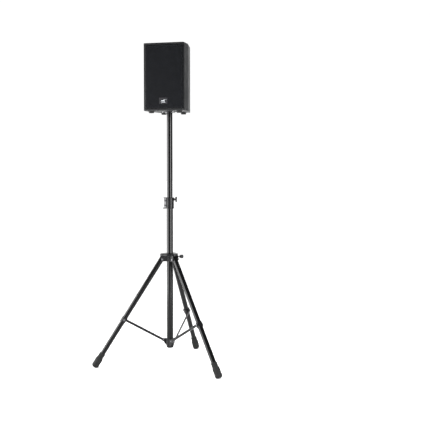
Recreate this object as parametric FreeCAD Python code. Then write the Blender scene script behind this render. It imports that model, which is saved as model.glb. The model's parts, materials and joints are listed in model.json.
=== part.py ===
import FreeCAD, Part
import math
import os

# Loudspeaker on a telescoping tripod stand. Millimetres, +Z up, cabinet front facing -Y.
# Everything is drawn about the pole's axis, and write_parts() then moves it so that the
# origin is the middle of the tripod's footprint on the floor.

V = FreeCAD.Vector

# Fits
RUNNING = 0.05            # radial clearance of a shaft that turns or slides in its bore
AIR = 0.3                 # gap between faces of different bodies that only pass each other

# Tripod
OUTER_TUBE_R = 20.0
OUTER_TUBE_WALL = 1.8
OUTER_TUBE_Z = (112.0, 1000.0)
POLE_R = 17.5             # 35 mm pole, the usual speaker size
POLE_WALL = 2.0
POLE_Z = (760.0, 1624.0)
LEG_AZIMUTHS = {"rear": 85.6, "left": 205.6, "right": 325.6}
LEG_PIVOT_R = 51.0        # leg's top pivot: distance from the pole axis and height
LEG_PIVOT_Z = 655.0
LEG_SPREAD = 32.5         # degrees from vertical
LEG_TUBE_R = 15.5
LEG_TUBE_WALL = 1.5
LEG_TUBE_END = 752.0      # along the leg from its top pivot
LEG_TOP_STUB = 10.0
FOOT_SLEEVE = 676.0       # the rubber foot's upper end, and the top of its bulb, along the leg
FOOT_BULB = 712.0
FOOT_END = 773.0
FOOT_R = 22.0
FOOT_ROUND = 15.0
BRACKET_AT = 435.6        # strut's joint along the leg
BRACKET_R = 18.0
BRACKET_HALF_H = 17.0
STRUT_PLANE = 18.3        # inner face of a strut, beside the leg's mid plane
STRUT_T = 4.0
STRUT_W = 15.0
STRUT_PIVOT_R = 40.0      # strut's pivot on the bottom hub
STRUT_PIVOT_Z = 151.0
RIVET_R = 3.0
LUG_T = 5.0
BOTTOM_HUB_R = 23.0
BOTTOM_HUB_Z = (104.0, 160.0)

# Sliding leg hub
HUB_PLATE_Z = (675.0, 689.0)
HUB_EAR_Z = 642.0
HUB_R_MIN = 50.0
HUB_R_MAX = 61.0
HUB_LOBE_R = 27.0
HUB_SLEEVE_R = 26.0
HUB_LINER_R = 21.7
EAR_INNER = 16.2
EAR_OUTER = 21.2
EAR_REACH = 66.0
PIVOT_BOLT_R = 4.0
HUB_KNOB_AZIMUTH = 25.6
HUB_KNOB_Z = 668.0
HUB_SCREW_R = 4.0
HUB_SCREW_END = 74.0

# Collar at the top of the outer tube
COLLAR_Z = (966.0, 1034.0)
COLLAR_R = 25.5
CLAMP_AZIMUTH = 198.0
COLLAR_KNOB_AZIMUTH = 18.0
COLLAR_KNOB_Z = 1022.0
COLLAR_SCREW_R = 3.0
CLAMP_BOLT_X = -28.5      # clamp bolts, beside the pole on the ears' side
CLAMP_BOLT_Z = (985.0, 1015.0)
CLAMP_EAR_HALF = 10.0
CLAMP_CHEEK_T = 2.5
CLAMP_SLOT = 3.0

# Cabinet
CAB_Z = (1559.0, 1964.0)
CAB_HALF_W = 128.0
CAB_FRONT = -120.5
CAB_BACK = 120.5
TAPER_FROM = -30.5
TAPER = 12.1              # degrees
PANEL = 12.0
SIDE_FRONT = -108.5       # front edge of the side panels
CORNER_R = 14.0           # front corners of the top and bottom panels
GRILLE_HALF_W = 118.0
GRILLE_FRONT = -119.5
GRILLE_GAP = 4.0
GRILLE_T = 1.2
GRILLE_BEND = 8.0
FOAM_T = 4.0
BAFFLE_Y = (-103.0, -88.0)
BADGE_Z = 1617.0
BADGE_SIZE = (53.0, 37.0, 2.5)
SOCKET_BORE_R = POLE_R + AIR
SOCKET_R = 21.0
SOCKET_TOP = 1632.0
SOCKET_FLANGE_R = 54.0
SOCKET_FLANGE_T = 2.5
CAB_FOOT_R = 17.5
CAB_FOOT_H = 12.0
SHELL_SCREW_R = 2.0       # screws of the feet and the pole socket
SHELL_SCREW_DEPTH = 9.0

# Drivers, each drawn along Y from the baffle's front face
WOOFER_Z = 1696.0
WOOFER_R = 104.0
WOOFER_HOLE_R = 92.0
CONE_R = 80.0
COIL_R = 19.0
FLANGE_T = 4.0
FRONT_SCREW_R = 1.8
WOOFER_SCREWS_R = 98.0     # circle of the woofer's eight screws
MAGNET_R = 58.0
HORN_Z = 1882.0
HORN_SIZE = (196.0, 112.0)
HORN_MOUTH = (170.0, 88.0)
HORN_DEPTH = 72.0
HORN_THROAT = 25.0
DRIVER_R = 40.0

# Rear connector plate
PLATE_Z = 1680.0
PLATE_SIZE = (110.0, 80.0)
PLATE_T = 2.0
PLATE_OPENING = (92.0, 64.0)
PLATE_SCREW_R = 1.8
SOCKET_BARREL_R = 13.0
CONNECTOR_X = 26.0
CONNECTOR_BORE_R = 11.5
CONNECTOR_DEPTH = 23.0
JACK_BORE_R = 3.25        # for a 6.35 mm plug
JACK_DEPTH = 26.0
INSERT_R = 3.0            # M6 thread
INSERT_DX = 60.0
INSERT_DZ = 60.0
INSERT_MID_Z = 1830.0


# ---------------------------------------------------------------- helpers

def tube(r_out, r_in, z0, z1):
    """Ring or tube about the Z axis."""
    shape = Part.makeCylinder(r_out, z1 - z0, V(0, 0, z0))
    if r_in > 0:
        shape = shape.cut(Part.makeCylinder(r_in, z1 - z0 + 2, V(0, 0, z0 - 1)))
    return shape


def block(x0, x1, y0, y1, z0, z1):
    return Part.makeBox(x1 - x0, y1 - y0, z1 - z0, V(x0, y0, z0))


def rod(radius, start, end):
    """Cylinder from one point to another."""
    way = end.sub(start)
    return Part.makeCylinder(radius, way.Length, start, way)


def hex_head(across, height, start, way):
    """Hexagonal head standing on a point along a direction."""
    radius = across / math.sqrt(3)
    corners = []
    for i in range(7):
        a = math.radians(60 * i)
        corners.append(V(radius * math.cos(a), radius * math.sin(a), 0))
    shape = Part.Face(Part.makePolygon(corners)).extrude(V(0, 0, height))
    shape.Placement = FreeCAD.Placement(start, FreeCAD.Rotation(V(0, 0, 1), way))
    return shape


def turned(points, axis=V(0, 0, 1)):
    """Solid of revolution from (radius, height) points, about Z or Y."""
    if axis.z:
        ring = [V(r, 0, h) for r, h in points]
    else:
        ring = [V(r, h, 0) for r, h in points]
    face = Part.Face(Part.makePolygon(ring + ring[:1]))
    return face.revolve(V(0, 0, 0), axis, 360)


def fuse(shapes):
    return shapes[0].multiFuse(shapes[1:]).removeSplitter()


def group(shapes):
    """Separate solids kept together in one node."""
    return Part.makeCompound(shapes)


def at_azimuth(shape, degrees):
    """A part drawn along +X, turned about the pole axis."""
    copy = shape.copy()
    copy.rotate(V(0, 0, 0), V(0, 0, 1), degrees)
    return copy


def along_leg(shape):
    """A part drawn down -Z from the top pivot, leaned out to the leg's spread."""
    copy = shape.copy()
    copy.rotate(V(0, 0, 0), V(0, 1, 0), -LEG_SPREAD)
    copy.translate(V(LEG_PIVOT_R, 0, LEG_PIVOT_Z))
    return copy


def down_leg(distance):
    """Point on the leg's axis, in the plane Y = 0."""
    a = math.radians(LEG_SPREAD)
    return V(LEG_PIVOT_R + distance * math.sin(a), 0, LEG_PIVOT_Z - distance * math.cos(a))


def beside(point, offset):
    """The same point, moved off the leg's mid plane."""
    return V(point.x, offset, point.z)


# ---------------------------------------------------------------- tripod base

def outer_tube():
    return tube(OUTER_TUBE_R, OUTER_TUBE_R - OUTER_TUBE_WALL, *OUTER_TUBE_Z)


def strut_lug():
    """Ear of the bottom hub that one strut is riveted to."""
    inner = -STRUT_PLANE + AIR
    outer = inner + LUG_T
    outline = [V(15, inner, 160), V(40, inner, 160), V(40, inner, 142), V(24, inner, 118), V(15, inner, 118)]
    web = Part.Face(Part.makePolygon(outline + outline[:1])).extrude(V(0, outer - inner, 0))
    pivot = V(STRUT_PIVOT_R, inner, STRUT_PIVOT_Z)
    eye = rod(9.0, pivot, beside(pivot, outer))
    hole = rod(RIVET_R, beside(pivot, inner - 1), beside(pivot, outer + 1))
    return web.fuse(eye).cut(hole)


def bottom_hub():
    z0, z1 = BOTTOM_HUB_Z
    cup = turned([
        (0, z0), (BOTTOM_HUB_R - 5, z0), (BOTTOM_HUB_R, z0 + 7), (BOTTOM_HUB_R, z1),
        (OUTER_TUBE_R, z1), (OUTER_TUBE_R, OUTER_TUBE_Z[0]), (0, OUTER_TUBE_Z[0]),
    ])
    lugs = [at_azimuth(strut_lug(), a) for a in LEG_AZIMUTHS.values()]
    hub = fuse([cup] + lugs)
    return hub.cut(tube(OUTER_TUBE_R, 0, OUTER_TUBE_Z[0], z1 + 5))


def strut_pivot_rivets():
    """Bright rivets that the struts turn on at the bottom hub."""
    pivot = V(STRUT_PIVOT_R, 0, STRUT_PIVOT_Z)
    outer = -STRUT_PLANE - STRUT_T - AIR
    inner = -STRUT_PLANE + AIR + LUG_T
    shank = rod(RIVET_R, beside(pivot, inner), beside(pivot, outer))
    head = rod(5.5, beside(pivot, outer), beside(pivot, outer - 2.4))
    head = head.makeFillet(1.6, [head.Edges[0]])
    tail = rod(4.5, beside(pivot, inner), beside(pivot, inner + 1.5))
    rivet = fuse([shank, head, tail])
    return group([at_azimuth(rivet, a) for a in LEG_AZIMUTHS.values()])


# ---------------------------------------------------------------- legs and struts

def leg_tube():
    shape = tube(LEG_TUBE_R, LEG_TUBE_R - LEG_TUBE_WALL, -LEG_TUBE_END, LEG_TOP_STUB)
    pivot = rod(PIVOT_BOLT_R + RUNNING, V(0, -30, 0), V(0, 30, 0))
    bolt = rod(RIVET_R, V(0, -30, -BRACKET_AT), V(0, 30, -BRACKET_AT))
    return along_leg(shape.cut(pivot).cut(bolt))


def leg_foot():
    """Rubber cap: a sleeve that steps out to a bulb with a rounded end, worn flat on the floor."""
    end, bulb, sleeve = FOOT_END, FOOT_BULB, FOOT_SLEEVE
    shape = turned([
        (0, -end), (FOOT_R, -end), (FOOT_R, -bulb), (18.6, -bulb + 9), (18.0, -sleeve),
        (LEG_TUBE_R, -sleeve), (LEG_TUBE_R, -LEG_TUBE_END), (0, -LEG_TUBE_END),
    ])
    rims = [e for e in shape.Edges if e.BoundBox.ZMax < -end + 0.01 and e.BoundBox.XMax > FOOT_R - 0.1]
    shape = along_leg(shape.makeFillet(FOOT_ROUND, rims))
    return shape.cut(block(300, 600, -60, 60, -40, 0))


def strut_bracket():
    """Band round the leg with a flat cheek on each side, for the strut's bolt."""
    half_h = BRACKET_HALF_H
    band = tube(BRACKET_R, 0, -half_h, half_h)
    cheeks = block(-10, 10, -STRUT_PLANE + AIR, STRUT_PLANE - AIR, -half_h + 3, half_h - 3)
    bore = tube(LEG_TUBE_R, 0, -half_h - 1, half_h + 1)
    bolt = rod(RIVET_R, V(0, -30, 0), V(0, 30, 0))
    shape = band.fuse(cheeks).removeSplitter().cut(bore).cut(bolt)
    shape.translate(V(0, 0, -BRACKET_AT))
    return along_leg(shape)


def bracket_bolt():
    """Bolt through the bracket and leg, with its hexagon head on the side away from the strut."""
    face = STRUT_PLANE - AIR
    shank = rod(RIVET_R, V(0, face, 0), V(0, -face, 0))
    washer = rod(7.0, V(0, face, 0), V(0, face + 1.2, 0))
    head = hex_head(10.0, 4.5, V(0, face + 1.2, 0), V(0, 1, 0))
    shape = fuse([shank, washer, head])
    shape.translate(V(0, 0, -BRACKET_AT))
    return along_leg(shape)


def strut():
    """Flat bar with round ends, from the bottom hub up and out to the leg."""
    low = V(STRUT_PIVOT_R, -STRUT_PLANE - STRUT_T, STRUT_PIVOT_Z)
    high = beside(down_leg(BRACKET_AT), low.y)
    length = high.sub(low).Length
    bar = block(0, length, 0, STRUT_T, -STRUT_W / 2, STRUT_W / 2)
    ends = [rod(STRUT_W / 2, V(x, 0, 0), V(x, STRUT_T, 0)) for x in (0, length)]
    shape = fuse([bar] + ends)
    shape = shape.cut(rod(RIVET_R + RUNNING, V(0, -1, 0), V(0, STRUT_T + 1, 0)))
    shape = shape.cut(rod(RIVET_R, V(length, -1, 0), V(length, STRUT_T + 1, 0)))
    rise = math.degrees(math.atan2(high.z - low.z, high.x - low.x))
    shape.rotate(V(0, 0, 0), V(0, 1, 0), -rise)
    shape.translate(low)
    return shape


def strut_pin():
    """Round-headed pin in the strut's upper eye. It ends at the strut's inner face."""
    eye = down_leg(BRACKET_AT)
    outer = -STRUT_PLANE - STRUT_T
    shank = rod(RIVET_R, beside(eye, -STRUT_PLANE), beside(eye, outer))
    head = rod(6.0, beside(eye, outer), beside(eye, outer - 3.0))
    head = head.makeFillet(2.0, [head.Edges[0]])
    return fuse([shank, head])


# ---------------------------------------------------------------- sliding leg hub

def hub_plate():
    """Three-lobed plate with a rounded rim, its lobes over the legs."""
    z0, z1 = HUB_PLATE_Z
    lobe = tube(HUB_LOBE_R, 0, z0, z1)
    lobe.translate(V(HUB_R_MAX - HUB_LOBE_R, 0, 0))
    lobes = [at_azimuth(lobe, azimuth) for azimuth in LEG_AZIMUTHS.values()]
    plate = fuse([tube(HUB_R_MIN, 0, z0, z1)] + lobes)
    waists = [e for e in plate.Edges if is_waist(e)]
    plate = plate.makeFillet(20.0, waists)
    plate = eased(plate, 6.0, lambda b: b.ZMin > z1 - 0.1)
    return eased(plate, 2.5, lambda b: b.ZMax < z0 + 0.1)


def is_waist(edge):
    """An upright edge where a lobe meets the round plate, not a cylinder's own seam."""
    box = edge.BoundBox
    return box.ZLength > 1 and len(edge.Vertexes) == 2 and abs(math.hypot(box.XMin, box.YMin) - HUB_R_MIN) < 0.1


def hub_ear(side):
    """Cheek on one side of a leg, with its outer lower corner cut round."""
    y0, y1 = sorted((side * EAR_INNER, side * EAR_OUTER))
    top = HUB_PLATE_Z[0] + 3
    ear = block(20, EAR_REACH - 8, y0, y1, HUB_EAR_Z, top)
    low = [e for e in ear.Edges if e.BoundBox.XMin > EAR_REACH - 8.1 and e.BoundBox.ZMax < HUB_EAR_Z + 0.1]
    return ear.makeFillet(12.0, low)


def leg_hub():
    z0, z1 = HUB_EAR_Z, HUB_PLATE_Z[1]
    shapes = [hub_plate(), tube(HUB_SLEEVE_R, 0, z0, z1)]
    for azimuth in LEG_AZIMUTHS.values():
        shapes += [at_azimuth(hub_ear(side), azimuth) for side in (-1, 1)]
    boss = rod(9.0, V(15, 0, HUB_KNOB_Z), V(47, 0, HUB_KNOB_Z))
    shapes.append(at_azimuth(boss, HUB_KNOB_AZIMUTH))
    hub = fuse(shapes)
    hub = hub.cut(tube(HUB_LINER_R, 0, z0 - 1, z1 + 1))
    thread = rod(HUB_SCREW_R + RUNNING, V(10, 0, HUB_KNOB_Z), V(80, 0, HUB_KNOB_Z))
    hub = hub.cut(at_azimuth(thread, HUB_KNOB_AZIMUTH))
    pivot = V(LEG_PIVOT_R, 0, LEG_PIVOT_Z)
    hole = rod(PIVOT_BOLT_R, beside(pivot, -40), beside(pivot, 40))
    for azimuth in LEG_AZIMUTHS.values():
        hub = hub.cut(at_azimuth(hole, azimuth))
    return hub


def hub_liner():
    liner = tube(HUB_LINER_R, OUTER_TUBE_R + RUNNING, HUB_EAR_Z, HUB_PLATE_Z[1])
    thread = rod(HUB_SCREW_R + RUNNING, V(10, 0, HUB_KNOB_Z), V(80, 0, HUB_KNOB_Z))
    return liner.cut(at_azimuth(thread, HUB_KNOB_AZIMUTH))


def leg_pivot_bolts():
    """Bolt, head and nut that each leg swings on."""
    pivot = V(LEG_PIVOT_R, 0, LEG_PIVOT_Z)
    shank = rod(PIVOT_BOLT_R, beside(pivot, -EAR_OUTER), beside(pivot, EAR_OUTER))
    head = hex_head(11.0, 4.0, beside(pivot, EAR_OUTER), V(0, 1, 0))
    nut = hex_head(11.0, 4.0, beside(pivot, -EAR_OUTER), V(0, -1, 0))
    bolt = fuse([shank, head, nut])
    return group([at_azimuth(bolt, a) for a in LEG_AZIMUTHS.values()])


def hub_screw():
    tip = OUTER_TUBE_R + AIR
    return at_azimuth(rod(HUB_SCREW_R, V(tip, 0, HUB_KNOB_Z), V(HUB_SCREW_END, 0, HUB_KNOB_Z)), HUB_KNOB_AZIMUTH)


def hub_knob():
    """Ball-shaped hand knob on a short neck."""
    neck, belly, end = 58.0, 64.0, 84.0
    shape = turned([
        (HUB_SCREW_R, neck), (7.0, neck), (7.0, belly), (11.5, belly), (11.5, end), (0, end),
        (0, HUB_SCREW_END), (HUB_SCREW_R, HUB_SCREW_END),
    ])
    rims = [e for e in shape.Edges if e.BoundBox.ZMin > belly - 0.1 and e.BoundBox.XMax > 11.4
            and e.BoundBox.ZLength < 0.1]
    shape = shape.makeFillet(4.2, rims)
    shape.rotate(V(0, 0, 0), V(0, 1, 0), 90)
    shape.translate(V(0, 0, HUB_KNOB_Z))
    return at_azimuth(shape, HUB_KNOB_AZIMUTH)


# ---------------------------------------------------------------- collar

def collar_body():
    """Clamp collar: grips the outer tube below and holds the liner above, split at the ears."""
    z0, z1 = COLLAR_Z
    ring = tube(COLLAR_R, 0, z0, z1)
    rims = [e for e in ring.Edges if e.BoundBox.ZLength < 0.1]
    ring = ring.makeFillet(2.0, rims)
    ears = block(-35, 0, -CLAMP_EAR_HALF, CLAMP_EAR_HALF, z0 + 5, z1 - 5)
    top_flange = block(-38, 0, -13, 13, z1 - 5, z1)
    low_flange = block(-42, 0, -13, 13, z0, z0 + 5)
    clamp = at_azimuth(fuse([ears, top_flange, low_flange]), CLAMP_AZIMUTH - 180)
    boss = at_azimuth(rod(8.0, V(0, 0, COLLAR_KNOB_Z), V(29, 0, COLLAR_KNOB_Z)), COLLAR_KNOB_AZIMUTH)
    body = fuse([ring, clamp, boss])
    body = body.cut(tube(OUTER_TUBE_R, 0, z0 - 1, OUTER_TUBE_Z[1]))
    body = body.cut(tube(OUTER_TUBE_R + 1, 0, OUTER_TUBE_Z[1], z1 + 1))
    slot = at_azimuth(block(-45, 0, -CLAMP_SLOT / 2, CLAMP_SLOT / 2, z0 - 1, z1 + 1), CLAMP_AZIMUTH - 180)
    thread = rod(COLLAR_SCREW_R + RUNNING, V(0, 0, COLLAR_KNOB_Z), V(60, 0, COLLAR_KNOB_Z))
    body = body.cut(slot).cut(at_azimuth(thread, COLLAR_KNOB_AZIMUTH))
    for z in CLAMP_BOLT_Z:
        hole = rod(RIVET_R, V(CLAMP_BOLT_X, -20, z), V(CLAMP_BOLT_X, 20, z))
        body = body.cut(at_azimuth(hole, CLAMP_AZIMUTH - 180))
    return body


def collar_liner():
    liner = tube(OUTER_TUBE_R + 1, POLE_R + RUNNING, OUTER_TUBE_Z[1], COLLAR_Z[1])
    thread = rod(COLLAR_SCREW_R + RUNNING, V(0, 0, COLLAR_KNOB_Z), V(60, 0, COLLAR_KNOB_Z))
    return liner.cut(at_azimuth(thread, COLLAR_KNOB_AZIMUTH))


def clamp_cheeks():
    """Two steel plates on the clamp's ears that spread the bolts' load."""
    z0, z1 = COLLAR_Z
    cheeks = []
    for side in (-1, 1):
        y0, y1 = sorted((side * CLAMP_EAR_HALF, side * (CLAMP_EAR_HALF + CLAMP_CHEEK_T)))
        plate = block(-35, -24, y0, y1, z0 + 6, z1 - 6)
        for z in CLAMP_BOLT_Z:
            plate = plate.cut(rod(RIVET_R, V(CLAMP_BOLT_X, -20, z), V(CLAMP_BOLT_X, 20, z)))
        cheeks.append(at_azimuth(plate, CLAMP_AZIMUTH - 180))
    return group(cheeks)


def clamp_bolts():
    bolts = []
    face = CLAMP_EAR_HALF + CLAMP_CHEEK_T
    for z in CLAMP_BOLT_Z:
        shank = rod(RIVET_R, V(CLAMP_BOLT_X, -face, z), V(CLAMP_BOLT_X, face, z))
        head = hex_head(10.0, 4.0, V(CLAMP_BOLT_X, -face, z), V(0, -1, 0))
        nut = hex_head(10.0, 4.0, V(CLAMP_BOLT_X, face, z), V(0, 1, 0))
        bolts.append(at_azimuth(fuse([shank, head, nut]), CLAMP_AZIMUTH - 180))
    return group(bolts)


def collar_screw():
    tip = POLE_R + AIR
    screw = rod(COLLAR_SCREW_R, V(tip, 0, COLLAR_KNOB_Z), V(40, 0, COLLAR_KNOB_Z))
    return at_azimuth(screw, COLLAR_KNOB_AZIMUTH)


def collar_knob():
    """Wing knob: a round boss with a T-shaped grip across it."""
    z = COLLAR_KNOB_Z
    boss = rod(6.5, V(29.5, 0, z), V(36, 0, z))
    wing = block(34, 45, -4.5, 4.5, z - 16, z + 16)
    wing = wing.makeFillet(4.0, wing.Edges)
    knob = fuse([boss, wing])
    hole = rod(COLLAR_SCREW_R, V(20, 0, z), V(40, 0, z))
    return at_azimuth(knob.cut(hole), COLLAR_KNOB_AZIMUTH)


# ---------------------------------------------------------------- pole

def inner_pole():
    return tube(POLE_R, POLE_R - POLE_WALL, *POLE_Z)


def pole_glide():
    """Sleeve that centres the pole's lower end in the outer tube."""
    bore = OUTER_TUBE_R - OUTER_TUBE_WALL
    return tube(bore - RUNNING, POLE_R, POLE_Z[0], POLE_Z[0] + 32)


def pole_cap():
    """Plug in the pole's top, which the cabinet rests on."""
    top = POLE_Z[1]
    inner = POLE_R - POLE_WALL
    return turned([(0, top - 20), (inner, top - 20), (inner, top), (POLE_R, top), (POLE_R - 3, top + 4), (0, top + 4)])


# ---------------------------------------------------------------- cabinet shell

def half_width(y):
    """Half the cabinet's width at a depth."""
    return CAB_HALF_W - max(0.0, y - TAPER_FROM) * math.tan(math.radians(TAPER))


def plan_panel(z0, z1):
    """Top or bottom board: wide at the front, with round front corners, narrower at the back."""
    wide, narrow = CAB_HALF_W, half_width(CAB_BACK)
    outline = [
        V(-wide, CAB_FRONT, z0), V(wide, CAB_FRONT, z0), V(wide, TAPER_FROM, z0),
        V(narrow, CAB_BACK, z0), V(-narrow, CAB_BACK, z0), V(-wide, TAPER_FROM, z0),
    ]
    board = Part.Face(Part.makePolygon(outline + outline[:1])).extrude(V(0, 0, z1 - z0))
    corners = [e for e in board.Edges if e.BoundBox.YMax < CAB_FRONT + 0.1 and e.BoundBox.ZLength > 1]
    return board.makeFillet(CORNER_R, corners)


def eased(board, radius, is_edge):
    return board.makeFillet(radius, [e for e in board.Edges if is_edge(e.BoundBox)])


def top_panel():
    z1 = CAB_Z[1]
    board = plan_panel(z1 - PANEL, z1)
    return eased(board, 3.0, lambda b: b.ZMin > z1 - 0.1)


def feet_places():
    """Four feet, each the same distance in from the board's edge."""
    inset = 40.0
    return [(side * (half_width(y) - inset), y) for side in (-1, 1) for y in (-84.0, 84.0)]


def bottom_panel():
    z0 = CAB_Z[0]
    board = plan_panel(z0, z0 + PANEL)
    board = eased(board, 3.0, lambda b: b.ZMax < z0 + 0.1)
    board = board.cut(tube(SOCKET_R, 0, z0 - 1, z0 + PANEL + 1))
    for x, y in feet_places():
        board = board.cut(rod(SHELL_SCREW_R, V(x, y, z0 - 1), V(x, y, z0 + SHELL_SCREW_DEPTH)))
    for x, y in socket_screw_places():
        board = board.cut(rod(SHELL_SCREW_R, V(x, y, z0 - 1), V(x, y, z0 + SHELL_SCREW_DEPTH)))
    return board


def side_panel(side):
    """Side board with its bend: straight behind the grille, then tapering to the back."""
    z0, z1 = CAB_Z[0] + PANEL, CAB_Z[1] - PANEL
    inward = PANEL / math.cos(math.radians(TAPER))
    outline = [
        V(side * CAB_HALF_W, SIDE_FRONT, z0), V(side * CAB_HALF_W, TAPER_FROM, z0),
        V(side * half_width(CAB_BACK), CAB_BACK, z0),
        V(side * (half_width(CAB_BACK) - inward), CAB_BACK, z0),
        V(side * (CAB_HALF_W - PANEL), TAPER_FROM - 1.3, z0),
        V(side * (CAB_HALF_W - PANEL), SIDE_FRONT, z0),
    ]
    board = Part.Face(Part.makePolygon(outline + outline[:1])).extrude(V(0, 0, z1 - z0))
    return eased(board, 2.0, lambda b: b.ZLength > 1 and b.YMax < SIDE_FRONT + 0.1
                 and abs((b.XMin + b.XMax) / 2) > CAB_HALF_W - 1)


def back_panel():
    z0, z1 = CAB_Z[0] + PANEL, CAB_Z[1] - PANEL
    slope = PANEL / math.cos(math.radians(TAPER))
    outer = half_width(CAB_BACK) - slope
    inner = half_width(CAB_BACK - PANEL) - slope
    outline = [
        V(-outer, CAB_BACK, z0), V(outer, CAB_BACK, z0),
        V(inner, CAB_BACK - PANEL, z0), V(-inner, CAB_BACK - PANEL, z0),
    ]
    board = Part.Face(Part.makePolygon(outline + outline[:1])).extrude(V(0, 0, z1 - z0))
    w, h = PLATE_OPENING[0] / 2, PLATE_OPENING[1] / 2
    board = board.cut(block(-w, w, CAB_BACK - 20, CAB_BACK + 5, PLATE_Z - h, PLATE_Z + h))
    for x, y, z in plate_screw_places():
        board = board.cut(rod(PLATE_SCREW_R, V(x, CAB_BACK - 9, z), V(x, CAB_BACK + 1, z)))
    for x, z in insert_places():
        board = board.cut(rod(INSERT_R + 1.5, V(x, CAB_BACK - PANEL - 1, z), V(x, CAB_BACK + 1, z)))
    return board


def baffle():
    half = CAB_HALF_W - PANEL
    board = block(-half, half, BAFFLE_Y[0], BAFFLE_Y[1], CAB_Z[0] + PANEL, CAB_Z[1] - PANEL)
    front, back = BAFFLE_Y[0] - 1, BAFFLE_Y[1] + 1
    board = board.cut(rod(WOOFER_HOLE_R, V(0, front, WOOFER_Z), V(0, back, WOOFER_Z)))
    w, h = HORN_MOUTH[0] / 2 + 4, HORN_MOUTH[1] / 2 + 4
    board = board.cut(block(-w, w, front, back, HORN_Z - h, HORN_Z + h))
    for x, z in woofer_screw_places() + horn_screw_places():
        board = board.cut(rod(FRONT_SCREW_R, V(x, front, z), V(x, BAFFLE_Y[0] + 11, z)))
    return board


def grille():
    """Sheet-steel pan: flat front, sides bent back on to the cabinet. The holes are left to the finish."""
    z0 = CAB_Z[0] + PANEL + GRILLE_GAP
    z1 = CAB_Z[1] - PANEL - GRILLE_GAP
    pans = []
    for t in (0.0, GRILLE_T):
        w = GRILLE_HALF_W - t
        back = SIDE_FRONT + (1 if t else 0)
        pan = block(-w, w, GRILLE_FRONT + t, back, z0 + t, z1 - t)
        bends = [e for e in pan.Edges if e.BoundBox.ZLength > 1 and e.BoundBox.YMax < GRILLE_FRONT + t + 0.1]
        pan = pan.makeFillet(GRILLE_BEND - t, bends)
        rims = [e for e in pan.Edges if e.BoundBox.YMax < GRILLE_FRONT + t + 0.1 and e.BoundBox.XLength > 50]
        pans.append(pan.makeFillet(2.4 - t, rims) if t == 0 else pan)
    return pans[0].cut(pans[1])


def grille_foam():
    """Thin foam glued behind the grille, which hides the drivers."""
    front = GRILLE_FRONT + GRILLE_T
    low = CAB_Z[0] + PANEL + GRILLE_GAP + GRILLE_T
    high = CAB_Z[1] - PANEL - GRILLE_GAP - GRILLE_T
    half = GRILLE_HALF_W - GRILLE_BEND
    return block(-half, half, front, front + FOAM_T, low + 1, high - 1)


def badge():
    w, h, t = BADGE_SIZE
    plate = block(-w / 2, w / 2, GRILLE_FRONT - t, GRILLE_FRONT, BADGE_Z - h / 2, BADGE_Z + h / 2)
    return eased(plate, 3.0, lambda b: b.YLength > 1)


# ---------------------------------------------------------------- drivers

def about_y(points, z):
    """Turned part on the Y axis at a height, from (radius, y) points."""
    shape = turned(points, V(0, 1, 0))
    shape.translate(V(0, 0, z))
    return shape


def woofer_screw_places():
    places = []
    for i in range(8):
        a = math.radians(22.5 + 45 * i)
        places.append((WOOFER_SCREWS_R * math.cos(a), WOOFER_Z + WOOFER_SCREWS_R * math.sin(a)))
    return places


def horn_screw_places():
    x, z = HORN_SIZE[0] / 2 - 7, HORN_SIZE[1] / 2 - 7
    return [(sx * x, HORN_Z + sz * z) for sx in (-1, 1) for sz in (-1, 1)]


def woofer_basket():
    """Pressed basket: flange on the baffle, sloping wall with windows, and a back plate."""
    front = BAFFLE_Y[0]
    rim, foot = WOOFER_HOLE_R - 1.5, 56.0
    deep = front + 56
    basket = about_y([
        (88.0, front - FLANGE_T), (WOOFER_R, front - FLANGE_T), (WOOFER_R, front), (rim, front),
        (rim, front + 14), (foot, deep + 3), (COIL_R + 4, deep + 3), (COIL_R + 4, deep), (foot - 1.5, deep),
        (rim - 2.5, front + 12), (rim - 2.5, front), (88.0, front),
    ], WOOFER_Z)
    for i in range(6):
        window = block(-18, 18, front + 20, deep - 8, 55, 100)
        window.rotate(V(0, 0, 0), V(0, 1, 0), 60 * i)
        window.translate(V(0, 0, WOOFER_Z))
        basket = basket.cut(window)
    for x, z in woofer_screw_places():
        basket = basket.cut(rod(FRONT_SCREW_R, V(x, front - 9, z), V(x, front + 1, z)))
    return basket


def woofer_surround():
    """Half-round rubber roll between the basket and the cone."""
    base = BAFFLE_Y[0] - FLANGE_T
    mid, big, small = 87.0, 6.0, 5.0
    outer = [V(mid + big, base, 0), V(mid, base - big, 0), V(mid - big, base, 0)]
    inner = [V(mid - small, base, 0), V(mid, base - small, 0), V(mid + small, base, 0)]
    wire = Part.Wire([
        Part.Arc(*outer).toShape(), Part.LineSegment(outer[2], inner[0]).toShape(),
        Part.Arc(*inner).toShape(), Part.LineSegment(inner[2], outer[0]).toShape(),
    ])
    roll = Part.Face(wire).revolve(V(0, 0, 0), V(0, 1, 0), 360)
    roll.translate(V(0, 0, WOOFER_Z))
    return roll


def woofer_cone():
    """Paper cone with its dust cap, one moving piece with the coil."""
    rim = BAFFLE_Y[0] - FLANGE_T
    neck = rim + 34
    return about_y([
        (COIL_R, neck), (COIL_R, neck + 4), (COIL_R + 2, neck + 4), (CONE_R, rim + 2.0),
        (CONE_R, rim), (30.0, neck - 9), (22.0, neck - 15), (11.0, neck - 19), (0, neck - 20.5),
        (0, neck - 19), (11.0, neck - 17.5), (22.0, neck - 13.5), (28.5, neck - 7.5),
    ], WOOFER_Z)


def voice_coil():
    top = BAFFLE_Y[0] - FLANGE_T + 38
    return about_y([(COIL_R, top), (COIL_R + 1.2, top), (COIL_R + 1.2, top + 34), (COIL_R, top + 34)], WOOFER_Z)


def woofer_spider():
    """Corrugated disc that centres the coil inside the basket."""
    y = BAFFLE_Y[0] + 46.0
    return about_y([(COIL_R + 1.3, y), (50.0, y), (50.0, y + 1.5), (COIL_R + 1.3, y + 1.5)], WOOFER_Z)


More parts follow.
